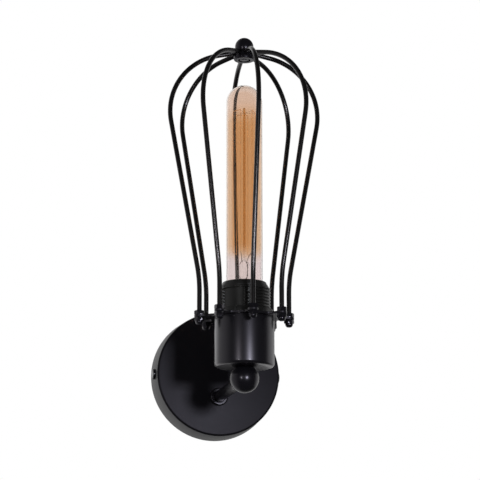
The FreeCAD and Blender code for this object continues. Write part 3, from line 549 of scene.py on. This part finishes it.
# %% Arm, collar and ball
ARM_R, ARM_BORE_R, ARM_BACK, ARM_IN_BALL = 4.75, 3.5, 15.6, 5.0
COLLAR_R, COLLAR_BORE_R, COLLAR_TOP = 7.3, 4.8, DEPTH + 4
BALL_R, BALL_FLAT_R = 11.3, 7.2
ARM_FRONT = LAMP_OUT - math.sqrt(BALL_R ** 2 - ARM_R ** 2) + ARM_IN_BALL
arm_outline = rounded(
    [(ARM_R, ARM_BACK), (ARM_R, ARM_FRONT), (ARM_BORE_R, ARM_FRONT), (ARM_BORE_R, ARM_BACK)],
    [0.3, 0.2, 0.2, 0.2], 3)
collar_outline = rounded(
    [(COLLAR_BORE_R, DEPTH), (COLLAR_R, DEPTH), (COLLAR_R, COLLAR_TOP), (COLLAR_BORE_R, COLLAR_TOP)],
    [0, 0.3, 1.0, 0.2], 8)


def ball_outline(radius, flat_above, centre, flat_at_top):
    """Half circle from pole to flat, closed along the flat: radius and height by the angle from the pole."""
    end = math.pi - math.acos(flat_above / radius)
    angle = np.linspace(0, end, 64)
    side = -1 if flat_at_top else 1
    arc = np.stack([radius * np.sin(angle), centre + side * radius * np.cos(angle)], -1)
    return np.concatenate([arc, [(0, centre - side * flat_above)]])


ball_flat = math.sqrt(BALL_R ** 2 - BALL_FLAT_R ** 2)
piece("arm", [turned(arm_outline, on_arm, 64)], satin, "black_paint", "head", "arm_tube")
piece("arm_rose", [turned(collar_outline, on_arm, 72)], gloss, "black_paint", "head", "arm_collar")
piece("ball", [turned(ball_outline(BALL_R, ball_flat, ARM_Z, True), at_lamp, 128)], gloss, "black_paint",
      "head", "swivel_ball")

# %% [markdown]
# ## The socket cup
#
# The cup is a straight pressed shell that hides the lower half of the lampholder. Its foot has a small
# radius, which is what catches the lights as two bright dashes. The profile runs down the outside,
# round the foot, in to the hole and back up the inside.

# %% Cup
CUP_R, CUP_H, CUP_HOLE_R, CUP_EDGE_R = 23.2, 38.1, 4.05, 2.6
RING_T = 1.8
CUP_LOW = ARM_Z + ball_flat
RING_Z = CUP_LOW + CUP_H
RING_TOP = RING_Z + RING_T

cup_outline = rounded(
    [(CUP_HOLE_R, CUP_LOW), (CUP_R, CUP_LOW), (CUP_R, RING_Z), (CUP_R - SHEET, RING_Z),
     (CUP_R - SHEET, CUP_LOW + SHEET), (CUP_HOLE_R, CUP_LOW + SHEET)],
    [0, CUP_EDGE_R, RIM_ROUND, RIM_ROUND, CUP_EDGE_R - SHEET, 0], 10)
piece("cup", [turned(cup_outline, at_lamp, 128)], satin, "black_paint", "head", "socket_cup")

# %% [markdown]
# ## The lampholder's thread
#
# The upper half of the holder is moulded with a coarse thread for the ring nut, broken by two smooth
# panels. The radius is a function of azimuth and height: a rounded ridge that climbs one pitch each
# turn, faded where it starts and ends, and pressed down to the core inside the panels.

# %% Threaded lampholder
RUNNING = 0.05             # radial clearance of a shaft in its hole
HOLDER_TOP = RING_Z + 27.9
CORE_R, CREST_R, PITCH = 19.0, 20.2, 2.4
THREAD_BORE = CREST_R + RUNNING
HALF_RIDGE = 0.95          # half the width of the ridge at its base
RIDGE_FLAT, RIDGE_FOOT = 0.35, 1.0              # half widths where the ridge starts to fall and ends
RIDGE_FADE = 0.6           # length over which the ridge rises at its ends
PANEL_AZ, PANEL_HALF, PANEL_EDGE = -38, 27.0, 0.6       # degrees
PANEL_SINK = 0.1
PANEL_LOW, PANEL_HIGH, PANEL_ROUND = 6.1, 21.3, 0.2                     # above the ring
NECK_R, RIM_R, MOUTH_R = 18.2, 17.2, 14.8
NECK_LOW, RIM_LOW = HOLDER_TOP - 3.6, HOLDER_TOP - 2.0
FLOOR_LOW, FLOOR_TOP = HOLDER_TOP - 35.0, HOLDER_TOP - 32.0


def smooth(x, low, high):
    """0 below low, 1 above high, and a smooth rise between them."""
    t = np.clip((x - low) / (high - low), 0, 1)
    return t * t * (3 - 2 * t)


def thread_radius(azimuth, z):
    """Core radius plus a ridge whose centre climbs one pitch a turn, without the two panels."""
    first, last = RING_Z + HALF_RIDGE, NECK_LOW - HALF_RIDGE
    start = first + PITCH * (azimuth - 90) / 360
    nearest = start + PITCH * np.round((z - start) / PITCH)
    there = smooth(nearest, first - RIDGE_FADE, first) * (1 - smooth(nearest, last, last + RIDGE_FADE))
    ridge = 1 - smooth(np.abs(z - nearest), RIDGE_FLAT, RIDGE_FOOT)
    offset = (azimuth - PANEL_AZ + 90) % 180 - 90
    low, high = RING_Z + PANEL_LOW, RING_Z + PANEL_HIGH
    panel = 1 - smooth(np.abs(offset), PANEL_HALF - PANEL_EDGE, PANEL_HALF + PANEL_EDGE)
    panel = panel * smooth(z, low - PANEL_ROUND, low + PANEL_ROUND)
    panel = panel * (1 - smooth(z, high - PANEL_ROUND, high + PANEL_ROUND))
    return CORE_R + (CREST_R - CORE_R) * ridge * there * (1 - panel) - PANEL_SINK * panel


def holder_parts():
    """Outer wall as rows at even heights whose radius is the thread's, joined to rim, bore and floor."""
    azimuth = np.linspace(0, 360, 256, endpoint=False)
    z = np.arange(RING_Z, NECK_LOW, 0.13)[:, None]
    wall_r = thread_radius(azimuth[None, :], z)
    wall = np.stack([wall_r, np.broadcast_to(z, wall_r.shape)], -1)
    under = rounded([(0, FLOOR_LOW), (CORE_R, FLOOR_LOW), (CORE_R, RING_Z - 0.2)], [0, 0.2, 0], 3, False)
    over = rounded([(CORE_R, NECK_LOW), (NECK_R, NECK_LOW), (NECK_R, RIM_LOW), (RIM_R, RIM_LOW),
                    (RIM_R, HOLDER_TOP), (MOUTH_R, HOLDER_TOP), (MOUTH_R, FLOOR_TOP), (0, FLOOR_TOP)],
                   [0.1, 0.2, 0.3, 0.2, 0.6, 0.4, 0.2, 0], 4, False)
    spread = [np.broadcast_to(line[:, None], (len(line), len(azimuth), 2)) for line in (under, over)]
    rows = np.concatenate([spread[0], wall, spread[1]])
    turn = np.radians(azimuth)
    points = at_lamp(rows[..., 0] * np.sin(turn), -rows[..., 0] * np.cos(turn), rows[..., 1])
    return [grid(points, wrap_rows=True)]


piece("holder", holder_parts(), moulded, "black_phenolic", "head", "holder_body", crease=40)

# %% [markdown]
# ## The ring nut
#
# A round nut clamps the cage's ring on the cup. Twelve notches round its edge take a fork key. The
# notches are semicircles cut out of the radius, so the outline is one radius for each azimuth.

# %% Ring nut
RING_NUT_R, RING_NUT_H, RING_NUT_BEVEL = 21.8, 4.8, 0.4
NOTCHES, NOTCH_R, NOTCH_OUT = 12, 1.1, 0.55     # a notch's centre lies this far outside the edge


def ring_nut_parts():
    """Radius less a round bite at each notch; the bevels pull the first and last rows in."""
    azimuth = np.linspace(0, 360, 720, endpoint=False)
    share = 360 / NOTCHES
    offset = np.radians((azimuth + share / 2) % share - share / 2)
    centre = RING_NUT_R + NOTCH_OUT
    inside = NOTCH_R ** 2 - (centre * np.sin(offset)) ** 2
    bite = centre * np.cos(offset) - np.sqrt(np.maximum(inside, 0))
    outer = np.where(inside > 0, np.minimum(bite, RING_NUT_R), RING_NUT_R)
    top = RING_TOP + RING_NUT_H
    bevel, crest = RING_NUT_BEVEL, RING_NUT_BEVEL * 0.3
    rows = [(THREAD_BORE, RING_TOP, 0), (-bevel, RING_TOP, 1), (0, RING_TOP + bevel, 1), (0, top - bevel, 1),
            (-crest, top - crest, 1), (-bevel, top, 1), (THREAD_BORE, top, 0)]
    radius = np.stack([outer + r if is_outer else np.full_like(outer, r) for r, z, is_outer in rows])
    z = np.array([z for r, z, is_outer in rows])[:, None]
    turn = np.radians(azimuth)
    return [grid(at_lamp(radius * np.sin(turn), -radius * np.cos(turn), z), wrap_rows=True)]


piece("ring_nut", ring_nut_parts(), moulded, "black_phenolic", "head", "holder_ring_nut")

# %% [markdown]
# ## The cage's flat ring
#
# The ring is stamped from flat steel: a washer with eight ears, each as wide as a nut, rounded at its
# end and blended into the ring with hollow fillets. The outline of one ear is an end arc, a fillet and
# a piece of the ring, mirrored and repeated eight times. Two rows a little inside the outline bevel
# its edges.

# %% Ring with ears
FIRST_WIRE = -2.0
WANDER = (0.7, -1.0, 0.0, -2.7, 0.0, 3.0, 0.0, 2.6)
FOOT_R, WIRE_R = 35.2, 1.9
RING_R, EAR_R, EAR_FILLET, RING_BEVEL = 26.6, 4.0, 4.5, 0.3
HALF_EAR = 20.5            # degrees from an ear's axis to where its outline ends on the ring
wire_azimuths = [FIRST_WIRE + 45 * k + wander for k, wander in enumerate(WANDER)]


def arc(centre, radius, first, last, count):
    """Points of an arc; angles count from the ear's axis, in radians."""
    angle = np.linspace(first, last, count)
    return np.stack([centre[0] + radius * np.sin(angle), centre[1] + radius * np.cos(angle)], -1)


def ear_outline():
    """Half an ear: end arc, fillet and ring, as (across, outward) points."""
    x = EAR_R + EAR_FILLET
    y = math.sqrt((RING_R + EAR_FILLET) ** 2 - x ** 2)
    touch = math.atan2(x, y)
    end = arc((0, FOOT_R), EAR_R, 0, math.pi / 2, 14)
    hollow = arc((x, y), EAR_FILLET, -math.pi / 2, -math.pi + touch, 12)
    rim = arc((0, 0), RING_R, touch, math.radians(HALF_EAR), 6)[1:]
    return np.concatenate([end, hollow, rim])


def ring_parts():
    """The outline, mirrored and turned eight times, with an inset row at each face and the bore inside."""
    half = ear_outline()
    ear = np.concatenate([half[::-1] * (-1, 1), half[1:]])[1:]
    ears = [spin(np.stack([-ear[:, 0], -ear[:, 1], 0 * ear[:, 0]], -1), a) for a in wire_azimuths[::-1]]
    outline = np.concatenate(ears)[:, :2]
    along = np.roll(outline, -1, 0) - np.roll(outline, 1, 0)
    normal = np.stack([along[:, 1], -along[:, 0]], -1) / np.linalg.norm(along, axis=1, keepdims=True)
    facing = np.sign((normal * outline).sum())
    inset = outline - facing * normal * RING_BEVEL
    bore = outline / np.linalg.norm(outline, axis=1, keepdims=True) * THREAD_BORE
    rows = [(bore, RING_Z), (inset, RING_Z), (outline, RING_Z + RING_BEVEL), (outline, RING_TOP - RING_BEVEL),
            (inset, RING_TOP), (bore, RING_TOP)]
    points = np.stack([at_lamp(line[:, 0], line[:, 1], z) for line, z in rows])
    return [grid(points, wrap_rows=True)]


piece("cage_plate", ring_parts(), satin, "black_paint", "head", "cage_ring")

# %% [markdown]
# ## Nuts on the wires
#
# Each wire is threaded at its foot. A hexagonal nut sits on the ear and a domed cap nut closes the
# thread below it. A hexagon's radius is half its width over the cosine of the angle to the nearest
# flat; the chamfer is a cone that limits that radius near both ends.

# %% Hexagonal nuts
NUT_FLATS, UPPER_NUT_H, NUT_CHAMFER = 7.0, 3.2, 0.33
CAP_H, CAP_HEX_H = 6.0, 3.0
CAP_DOME_R, CAP_DOME_ROUND = 3.0, 2.4
CAP_CHAMFERS = (0.4, 0.35)                       # below and above the hexagon
AROUND_NUT = 72


def hex_radius(azimuth, flats):
    """Distance from the axis to the hexagon's side."""
    return flats / 2 / np.cos(np.radians(azimuth % 60 - 30))


def nut_rows(flats, limit, z):
    """Rows at these heights whose radius is the hexagon's, but no more than each row's limit."""
    azimuth = np.linspace(0, 360, AROUND_NUT, endpoint=False)
    radius = np.minimum(hex_radius(azimuth, flats)[None, :], limit[:, None])
    turn = np.radians(azimuth)
    height = np.broadcast_to(z[:, None], radius.shape)
    return np.stack([radius * np.sin(turn), -radius * np.cos(turn), height], -1)


def hex_rows(flats, low, high, chamfer, bore):
    """Rows of a nut: bore, chamfered foot, sides, chamfered head, bore."""
    flat, corner = flats / 2, flats / 2 / math.cos(math.pi / 6)
    half = (flat + corner) / 2
    z = np.array([low, low, low + chamfer / 2, low + chamfer, high - chamfer, high - chamfer / 2, high, high])
    return nut_rows(flats, np.array([bore, flat, half, corner, corner, half, flat, bore]), z)


def cap_rows(flats, top):
    """Rows of a cap nut: hexagon above, dome below, closed over the wire's end."""
    flat, corner = flats / 2, flats / 2 / math.cos(math.pi / 6)
    end, foot = top - CAP_H, top - CAP_HEX_H
    dome = rounded([(0, end), (CAP_DOME_R, end), (CAP_DOME_R, foot)], [0, CAP_DOME_ROUND, 0], 8, False)
    z = np.r_[dome[:, 1], foot, foot + CAP_CHAMFERS[0], top - CAP_CHAMFERS[1], top, top]
    return nut_rows(flats, np.r_[dome[:, 0], flat, corner, corner, flat, 0], z)


def round_cage(rows, wrap):
    """Copies of a nut at the foot of each wire."""
    moved = rows + np.array([0, -FOOT_R, 0])
    turned_rows = [spin(moved, a) for a in wire_azimuths]
    return [grid(at_lamp(p[..., 0], p[..., 1], p[..., 2]), wrap_rows=wrap) for p in turned_rows]


upper = hex_rows(NUT_FLATS, RING_TOP, RING_TOP + UPPER_NUT_H, NUT_CHAMFER, WIRE_R + RUNNING)
piece("upper_nuts", round_cage(upper, True), polish, "black_paint", "head", "cage_upper_nuts")
cap = cap_rows(NUT_FLATS, RING_Z)
piece("cap_nuts", round_cage(cap, False), polish, "black_paint", "head", "cage_cap_nuts")

# %% [markdown]
# ## The cage's wires
#
# A wire rises straight from its ear, bends outward, leans out to its widest place and curves over into
# the hub. All of that lies in one plane through the lamp's axis, so the path is a rounded outline of
# four corners. A circle carried along it gives the wire, and the plane turned to each ear gives the
# cage. The wires are bent and set by hand, so the ears don't stand at quite even steps.

# %% Wires
BOSS_R, HUB_H, RECESS_H, BOSS_OVER_WIRE = 7.1, 8.0, 4.4, 0.35
HUB_NUT_H, HUB_NUT_CHAMFER, HUB_WASHER_H, STUD_PAST_NUT = 3.0, 0.35, 1.0, 0.3
LAMP_LEN, LAMP_ROOM = 190.0, 21.5                # room from the lamp's top to the stud
LAMP_TOP = TIP_Z + LAMP_LEN
HUB_NUT_LOW = LAMP_TOP + LAMP_ROOM + STUD_PAST_NUT
HUB_LOW = HUB_NUT_LOW + HUB_NUT_H + HUB_WASHER_H - RECESS_H
HUB_TOP = HUB_LOW + HUB_H
CAGE_R, CROWN_R, SLOPE, WIRE_END_R = 59.2, 48.5, math.radians(12.0), 5.8
FOOT_BELOW_RING, STRAIGHT, BEND_R = 3.6, 30.4, 115.0
FACET = 0.005              # drawn thinner by this, since a circle's facets meet on it


def crown_z(radius):
    """Height of a wire's centre line where it runs down from the hub."""
    return HUB_TOP - BOSS_OVER_WIRE - WIRE_R - (radius - BOSS_R) * math.tan(SLOPE)


def wire_path():
    """Rounded outline in (radius, z): foot, bend, shoulder and end.

    The lean is the slope of the line from the bend that touches the crown's arc, whose widest
    radius is the cage's.
    """
    bend_z = RING_Z + STRAIGHT
    centre_r = CAGE_R - CROWN_R
    across, along = centre_r - FOOT_R, crown_z(centre_r) - CROWN_R / math.cos(SLOPE) - bend_z
    lean = math.tan(math.atan2(across, along) + math.asin(CROWN_R / math.hypot(across, along)))
    rise = (crown_z(FOOT_R) - bend_z) / (1 + lean * math.tan(SLOPE))
    points = [(FOOT_R, RING_Z - FOOT_BELOW_RING), (FOOT_R, bend_z), (FOOT_R + rise * lean, bend_z + rise),
              (WIRE_END_R, crown_z(WIRE_END_R))]
    return rounded(points, [0, BEND_R, CROWN_R, 0], 40, False)


path = wire_path()
flat_path = np.stack([0 * path[:, 0], -path[:, 0], path[:, 1]], -1)
for k, azimuth in enumerate(wire_azimuths):
    across = spin(np.array([[1.0, 0.0, 0.0]]), azimuth)
    bar = tube(spin(flat_path, azimuth), across, WIRE_R - FACET, at_lamp)
    piece(f"wire_{k + 1}", [bar], wire_coat, "black_paint", "head", f"cage_wire_{k + 1}")

# %% [markdown]
# ## The hub and the finial
#
# The wires end in a turned hub with a flange. A stud through it draws a small ball down on top, and a
# washer and nut close it from below. From this viewpoint the hub's underside shows, with the recess
# that the washer sits in.

# %% Hub, finial, washer, nut and stud
FLANGE_R, FLANGE_H, FLANGE_ROUND = 8.5, 3.2, 1.2
SHELF_ROUND = 0.63         # rounding of the boss and of the flange's upper edge
RECESS_R, WASHER_R, STUD_R = 4.9, 4.6, 2.4
STUD_BORE = STUD_R + RUNNING
FINIAL_R, FINIAL_FLAT = 7.4, 3.2                 # ball, and its flat below its centre
recess_top, shelf, stud_top = HUB_LOW + RECESS_H, HUB_LOW + FLANGE_H, HUB_TOP + FINIAL_FLAT

hub_outline = rounded(
    [(STUD_BORE, recess_top), (RECESS_R, recess_top), (RECESS_R, HUB_LOW), (FLANGE_R, HUB_LOW),
     (FLANGE_R, shelf), (BOSS_R, shelf), (BOSS_R, HUB_TOP), (STUD_BORE, HUB_TOP)],
    [0, 0.2, 0.3, FLANGE_ROUND, SHELF_ROUND, SHELF_ROUND, SHELF_ROUND, 0.2], 8)
piece("hub", [turned(hub_outline, at_lamp, 96)], gloss, "black_paint", "head", "cage_hub")
finial_outline = ball_outline(FINIAL_R, FINIAL_FLAT, HUB_TOP + FINIAL_FLAT, False)
piece("finial", [turned(finial_outline, at_lamp, 112)], gloss, "black_paint", "head", "finial_ball")
washer_low = recess_top - HUB_WASHER_H
washer_outline = rounded(
    [(STUD_BORE, washer_low), (WASHER_R, washer_low), (WASHER_R, recess_top), (STUD_BORE, recess_top)],
    [0.1, 0.2, 0.2, 0.1], 3)
piece("crown_washer", [turned(washer_outline, at_lamp, 64)], gloss, "black_paint", "head", "hub_washer")
hub_nut_rows = hex_rows(NUT_FLATS, HUB_NUT_LOW, HUB_NUT_LOW + HUB_NUT_H, HUB_NUT_CHAMFER, STUD_BORE)
piece("crown_nut", [grid(at_lamp(*np.moveaxis(hub_nut_rows, -1, 0)), wrap_rows=True)], gloss, "black_paint",
      "head", "hub_nut")
stud_low = HUB_NUT_LOW - STUD_PAST_NUT
stud_outline = rounded(
    [(0, stud_low), (STUD_R, stud_low), (STUD_R, stud_top), (0, stud_top)], [0, 0.4, 0.1, 0], 4)
piece("crown_stud", [turned(stud_outline, at_lamp, 48)], gloss, "black_paint", "head", "hub_stud")

# %% [markdown]
# ## The lamp
#
# The lamp's glass is a tube with a round top, drawn with its inner and outer face so that light bends
# in it as it does in real glass. Inside stands a clear stem that is pinched flat round the lead-in
# wires and then drawn out to a long rod. The filament runs up and down round that rod six times.

# %% Glass and stem
GLASS_R, GLASS_WALL, GLASS_NECK_R = 14.25, 0.9, 11.6
STEM_TOP = 46.7


def glass_outline():
    """Up the outside, over the round top, and down the inside; the neck closes it at the foot."""
    neck_low, neck, shoulder = TIP_Z + 17, TIP_Z + 24.2, TIP_Z + 28
    neck_r = GLASS_NECK_R
    r_in, neck_in, top_in = GLASS_R - GLASS_WALL, neck_r - GLASS_WALL, LAMP_TOP - GLASS_WALL
    outer = [(neck_in, neck_low), (neck_r, neck_low), (neck_r, neck), (GLASS_R, shoulder),
             (GLASS_R, LAMP_TOP), (0, LAMP_TOP)]
    inner = [(0, top_in), (r_in, top_in), (r_in, shoulder + GLASS_WALL), (neck_in, neck + GLASS_WALL)]
    radii = [0.1, 0.2, 2.5, 2.5, GLASS_R, 0, 0, r_in, 2.0, 2.0]
    return rounded(outer + inner, radii, 40)


def stem_rows():
    """Oval rows whose two half widths follow the stem: height over the tip, half width, half depth."""
    flare = [(17.0, 0, 0), (17.2, 10.6, 10.6), (18.2, 10.6, 10.6), (20.0, 5.6, 5.6), (24.0, 3.6, 3.6)]
    pinch = [(30.0, 3.3, 3.0), (33.0, 3.9, 1.6), (36.0, 4.0, 1.2), (42.0, 4.0, 1.2), (45.0, 3.9, 1.2),
             (46.4, 3.2, 1.2), (47.2, 1.8, 1.1), (48.2, 1.1, 1.05)]
    rod = [(50.0, 1.0, 1.0), (171.0, 1.0, 1.0), (171.6, 0.7, 0.7), (171.8, 0, 0)]
    z, wide, deep = np.array(flare + pinch + rod).T
    turn = np.linspace(0, 2 * np.pi, 48, endpoint=False)
    x = wide[:, None] * np.sin(turn)
    y = -deep[:, None] * np.cos(turn)
    return grid(at_lamp(x, y, TIP_Z + z[:, None]))


piece("lamp_glass", [turned(glass_outline(), at_lamp, 128)], tube_glass, "lamp_glass", "lamp", "bulb_glass")
piece("lamp_stem", [stem_rows()], rod_glass, "stem_glass", "lamp", "bulb_stem", crease=60)

# %% [markdown]
# ## The filament and its supports
#
# The filament is one wire that zigzags up and down on a cylinder round the rod. Thin spokes from the
# rod hold its upper turns, and two lead-in wires climb from the pinch to its ends. Each is a tube whose
# side vector points away from the axis, which keeps its circles from twisting.

# %% Filament, spokes and lead-in wires
STRANDS, STRAND_R, STRAND_RING = 6, 0.3, 9.0
STRAND_LOW, STRAND_HIGH = TIP_Z + STEM_TOP + 7.3, LAMP_TOP - 22.0
STRAND_DRAWN_R = STRAND_R - 0.1                  # the lit wire looks thinner than its solid
SPOKE_R, LEAD_IN_R = 0.1, 0.25
SPOKE_FROM, SPOKE_TO = 1.05, 8.65                # from the rod to just inside the filament
SPOKE_DROP = STRAND_R + 0.25 + 0.05              # below the filament's upper turns
LEAD_IN_X, LEAD_IN_SINK, LEAD_IN_GAP = 2.0, 0.4, 0.85    # foot in the pinch; gap under the filament
LEAD_IN_PULL = (2.6, -2.0, 5.5)                  # middle point of a lead-in wire's bow, from its foot
strand_azimuths = [360 / STRANDS * (k + 0.5) for k in range(STRANDS)]


def polar(radius, azimuth, z):
    """Points by radius, azimuth from -Y towards +X in degrees, and height."""
    a = np.radians(azimuth)
    return np.stack(np.broadcast_arrays(radius * np.sin(a), -radius * np.cos(a), z), -1)


def filament_parts():
    """Runs up and down, joined at top and foot by short chords; the corners are shared points."""
    azimuth = np.repeat(strand_azimuths, 2)
    z = np.tile([STRAND_LOW, STRAND_HIGH, STRAND_HIGH, STRAND_LOW], STRANDS // 2)
    corner = polar(STRAND_RING, azimuth, z)
    share = np.array([0.0, 0.004, 0.012, 0.5, 0.988, 0.996])[None, :, None]
    line = (corner[:-1, None] * (1 - share) + corner[1:, None] * share).reshape(-1, 3)
    line = np.concatenate([line, corner[-1:]])
    outward = line * (1, 1, 0)
    return [tube(line, outward, STRAND_DRAWN_R, at_lamp, 10)]


def bow(start, middle, end):
    """Quadratic curve through a start and an end, pulled towards a middle point."""
    t = np.linspace(0, 1, 16)[:, None]
    return (1 - t) ** 2 * start + 2 * t * (1 - t) * middle + t ** 2 * end


def support_parts():
    """Straight spokes near the top, and two bowed lead-in wires that stop just below the filament's ends."""
    spoke = np.linspace(SPOKE_FROM, SPOKE_TO, 6)
    parts = [tube(polar(spoke, a, STRAND_HIGH - SPOKE_DROP), (0, 0, 1), SPOKE_R, at_lamp, 8)
             for a in strand_azimuths]
    foot_z = TIP_Z + STEM_TOP - LEAD_IN_SINK
    pull_x, pull_y, pull_z = LEAD_IN_PULL
    for side, azimuth in ((1, strand_azimuths[0]), (-1, strand_azimuths[-1])):
        foot = np.array([side * LEAD_IN_X, 0, foot_z])
        middle = np.array([side * pull_x, pull_y, foot_z + pull_z])
        top = polar(STRAND_RING, azimuth, STRAND_LOW - LEAD_IN_GAP)
        parts.append(tube(bow(foot, middle, top), (0, 1, 0), LEAD_IN_R, at_lamp, 8))
    return parts


piece("filament", filament_parts(), strand, "filament", "lamp", "bulb_filament")
piece("filament_supports", support_parts(), support, "filament", "lamp", "bulb_supports")

# %% [markdown]
# ## Pieces that keep their engineering shape
#
# The bracket, the wiring, the terminals and the small fasteners are already the right shape, and most
# of them are inside. They stay as they are and only get a finish: each by the material slot that the
# engineering record names for it.

# %% Finishes for the other nodes
slot_finish = {
    "black_paint": satin, "zinc_steel": zinc, "brass": brass, "black_phenolic": moulded,
    "white_plastic": white, "lead_sheath": sheath, "lamp_glass": tube_glass, "stem_glass": rod_glass,
    "filament": strand, "cap_metal": nickel, "black_glass": black_glass,
}
node_slot = {part["node"]: part["material_slot"] for part in frame["record"]["subparts"]}
for name, node in frame["nodes"].items():
    node.data.materials.clear()
    node.data.materials.append(slot_finish[node_slot[name]])
shown = [name for name, node in frame["nodes"].items() if not node.hide_render]
print(len(shown), "nodes keep their shape:", ", ".join(sorted(shown)))

# %% [markdown]
# ## Studio, lights and background
#
# The photograph shows the light on plain white. Two small lamps stand in front of it, one left and one
# right of its middle, and leave their twin dots on every ball. The white comes from the world, and
# only for rays that see it straight or through glass. For reflections the surroundings are uneven, as
# in a real studio: bright behind the light and at its left, a narrow bright patch at its right, and
# dark in front. That gives each round piece its thin bright edge. A pale floor lies well below the
# light and keeps its shadow.

# %% Floor, lamps and world
FLOOR_HALF, FLOOR_Z = 3, -0.6                    # metres
LAMP_AWAY = 0.8            # metres
LEFT, RIGHT, BEHIND = (-0.8, 0.6, 0.0), (0.93, 0.37, 0.0), (0.0, 1.0, 0.0)
EVEN_LIGHT, DARK_SIDE = 0.45, 0.04               # strength of the world as light, and in front


def add_floor():
    """A wide pale floor, far enough below to stay out of the picture, and unseen in reflections."""
    mesh = bpy.data.meshes.new("floor")
    corners_xy = ((-1, -1), (1, -1), (1, 1), (-1, 1))
    points = [(x * FLOOR_HALF, y * FLOOR_HALF, FLOOR_Z) for x, y in corners_xy]
    mesh.from_pydata(points, [], [(0, 1, 2, 3)])
    floor = bpy.data.objects.new("floor", mesh)
    nodes = finish("floor_paper", {"Roughness": 0.9})
    grain = nodes.noise(30.0)
    mesh.materials.append(feed(nodes, Base_Color=nodes.blend(grain, grey(0.80), grey(0.84))))
    bpy.context.scene.collection.objects.link(floor)
    floor.visible_glossy = False
    floor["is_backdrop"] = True


def add_lamp(name, azimuth, elevation, width, radiance, colour=(1, 1, 1)):
    """Square area lamp that looks at the light; power from its face's brightness; unseen itself."""
    lamp = bpy.data.lights.new(name, "AREA")
    lamp.size = width
    lamp.energy = radiance * math.pi * width ** 2
    lamp.color = colour
    made = bpy.data.objects.new(name, lamp)
    towards = direction(azimuth, elevation)
    facing = towards.to_track_quat("Z", "Y").to_matrix().to_4x4()
    made.matrix_world = Matrix.Translation(TARGET + towards * LAMP_AWAY) @ facing
    made.visible_camera = made.visible_transmission = False
    bpy.context.scene.collection.objects.link(made)


def add_world():
    """White where it is looked at; uneven in reflections; a plain even level as light."""
    nodes = Nodes(bpy.data.worlds.new("studio"))
    bpy.context.scene.world = nodes.owner
    seen = nodes.add("LightPath", out="Is Camera Ray") + nodes.add("LightPath", out="Is Transmission Ray")
    glossy = nodes.add("LightPath", out="Is Glossy Ray")
    towards = nodes.add("TexCoord", out="Generated")
    dot = {"operation": "DOT_PRODUCT"}
    left, right, behind = (nodes.add("VectorMath", dot, {0: towards, 1: side}, out="Value")
                           for side in (LEFT, RIGHT, BEHIND))
    mirrored = left.step(0.3, 1.0) * 0.5 + right.step(0.82, 1.0) * 0.8
    mirrored = mirrored + behind.step(0.5, 0.9) * 0.6 + DARK_SIDE
    share = seen.maths("MINIMUM", 1.0)
    strength = share + (1 - share) * (glossy * mirrored + (1 - glossy) * EVEN_LIGHT)
    light = nodes.tree.nodes.new("ShaderNodeBackground")
    nodes.tree.links.new(strength.socket, light.inputs["Strength"])
    light.inputs["Color"].default_value = (1, 1, 1, 1)
    out = nodes.tree.nodes.new("ShaderNodeOutputWorld")
    nodes.tree.links.new(light.outputs[0], out.inputs["Surface"])


add_floor()
add_lamp("soft_lamp_left", -34.0, -3.0, 0.08, 38.0)
add_lamp("soft_lamp_right", 8.0, -3.0, 0.085, 120.0, (0.9, 0.94, 1.0))
add_world()
bpy.context.scene.view_settings.view_transform = "Standard"

# %% Sizes and finish
print("visual box:", corners())
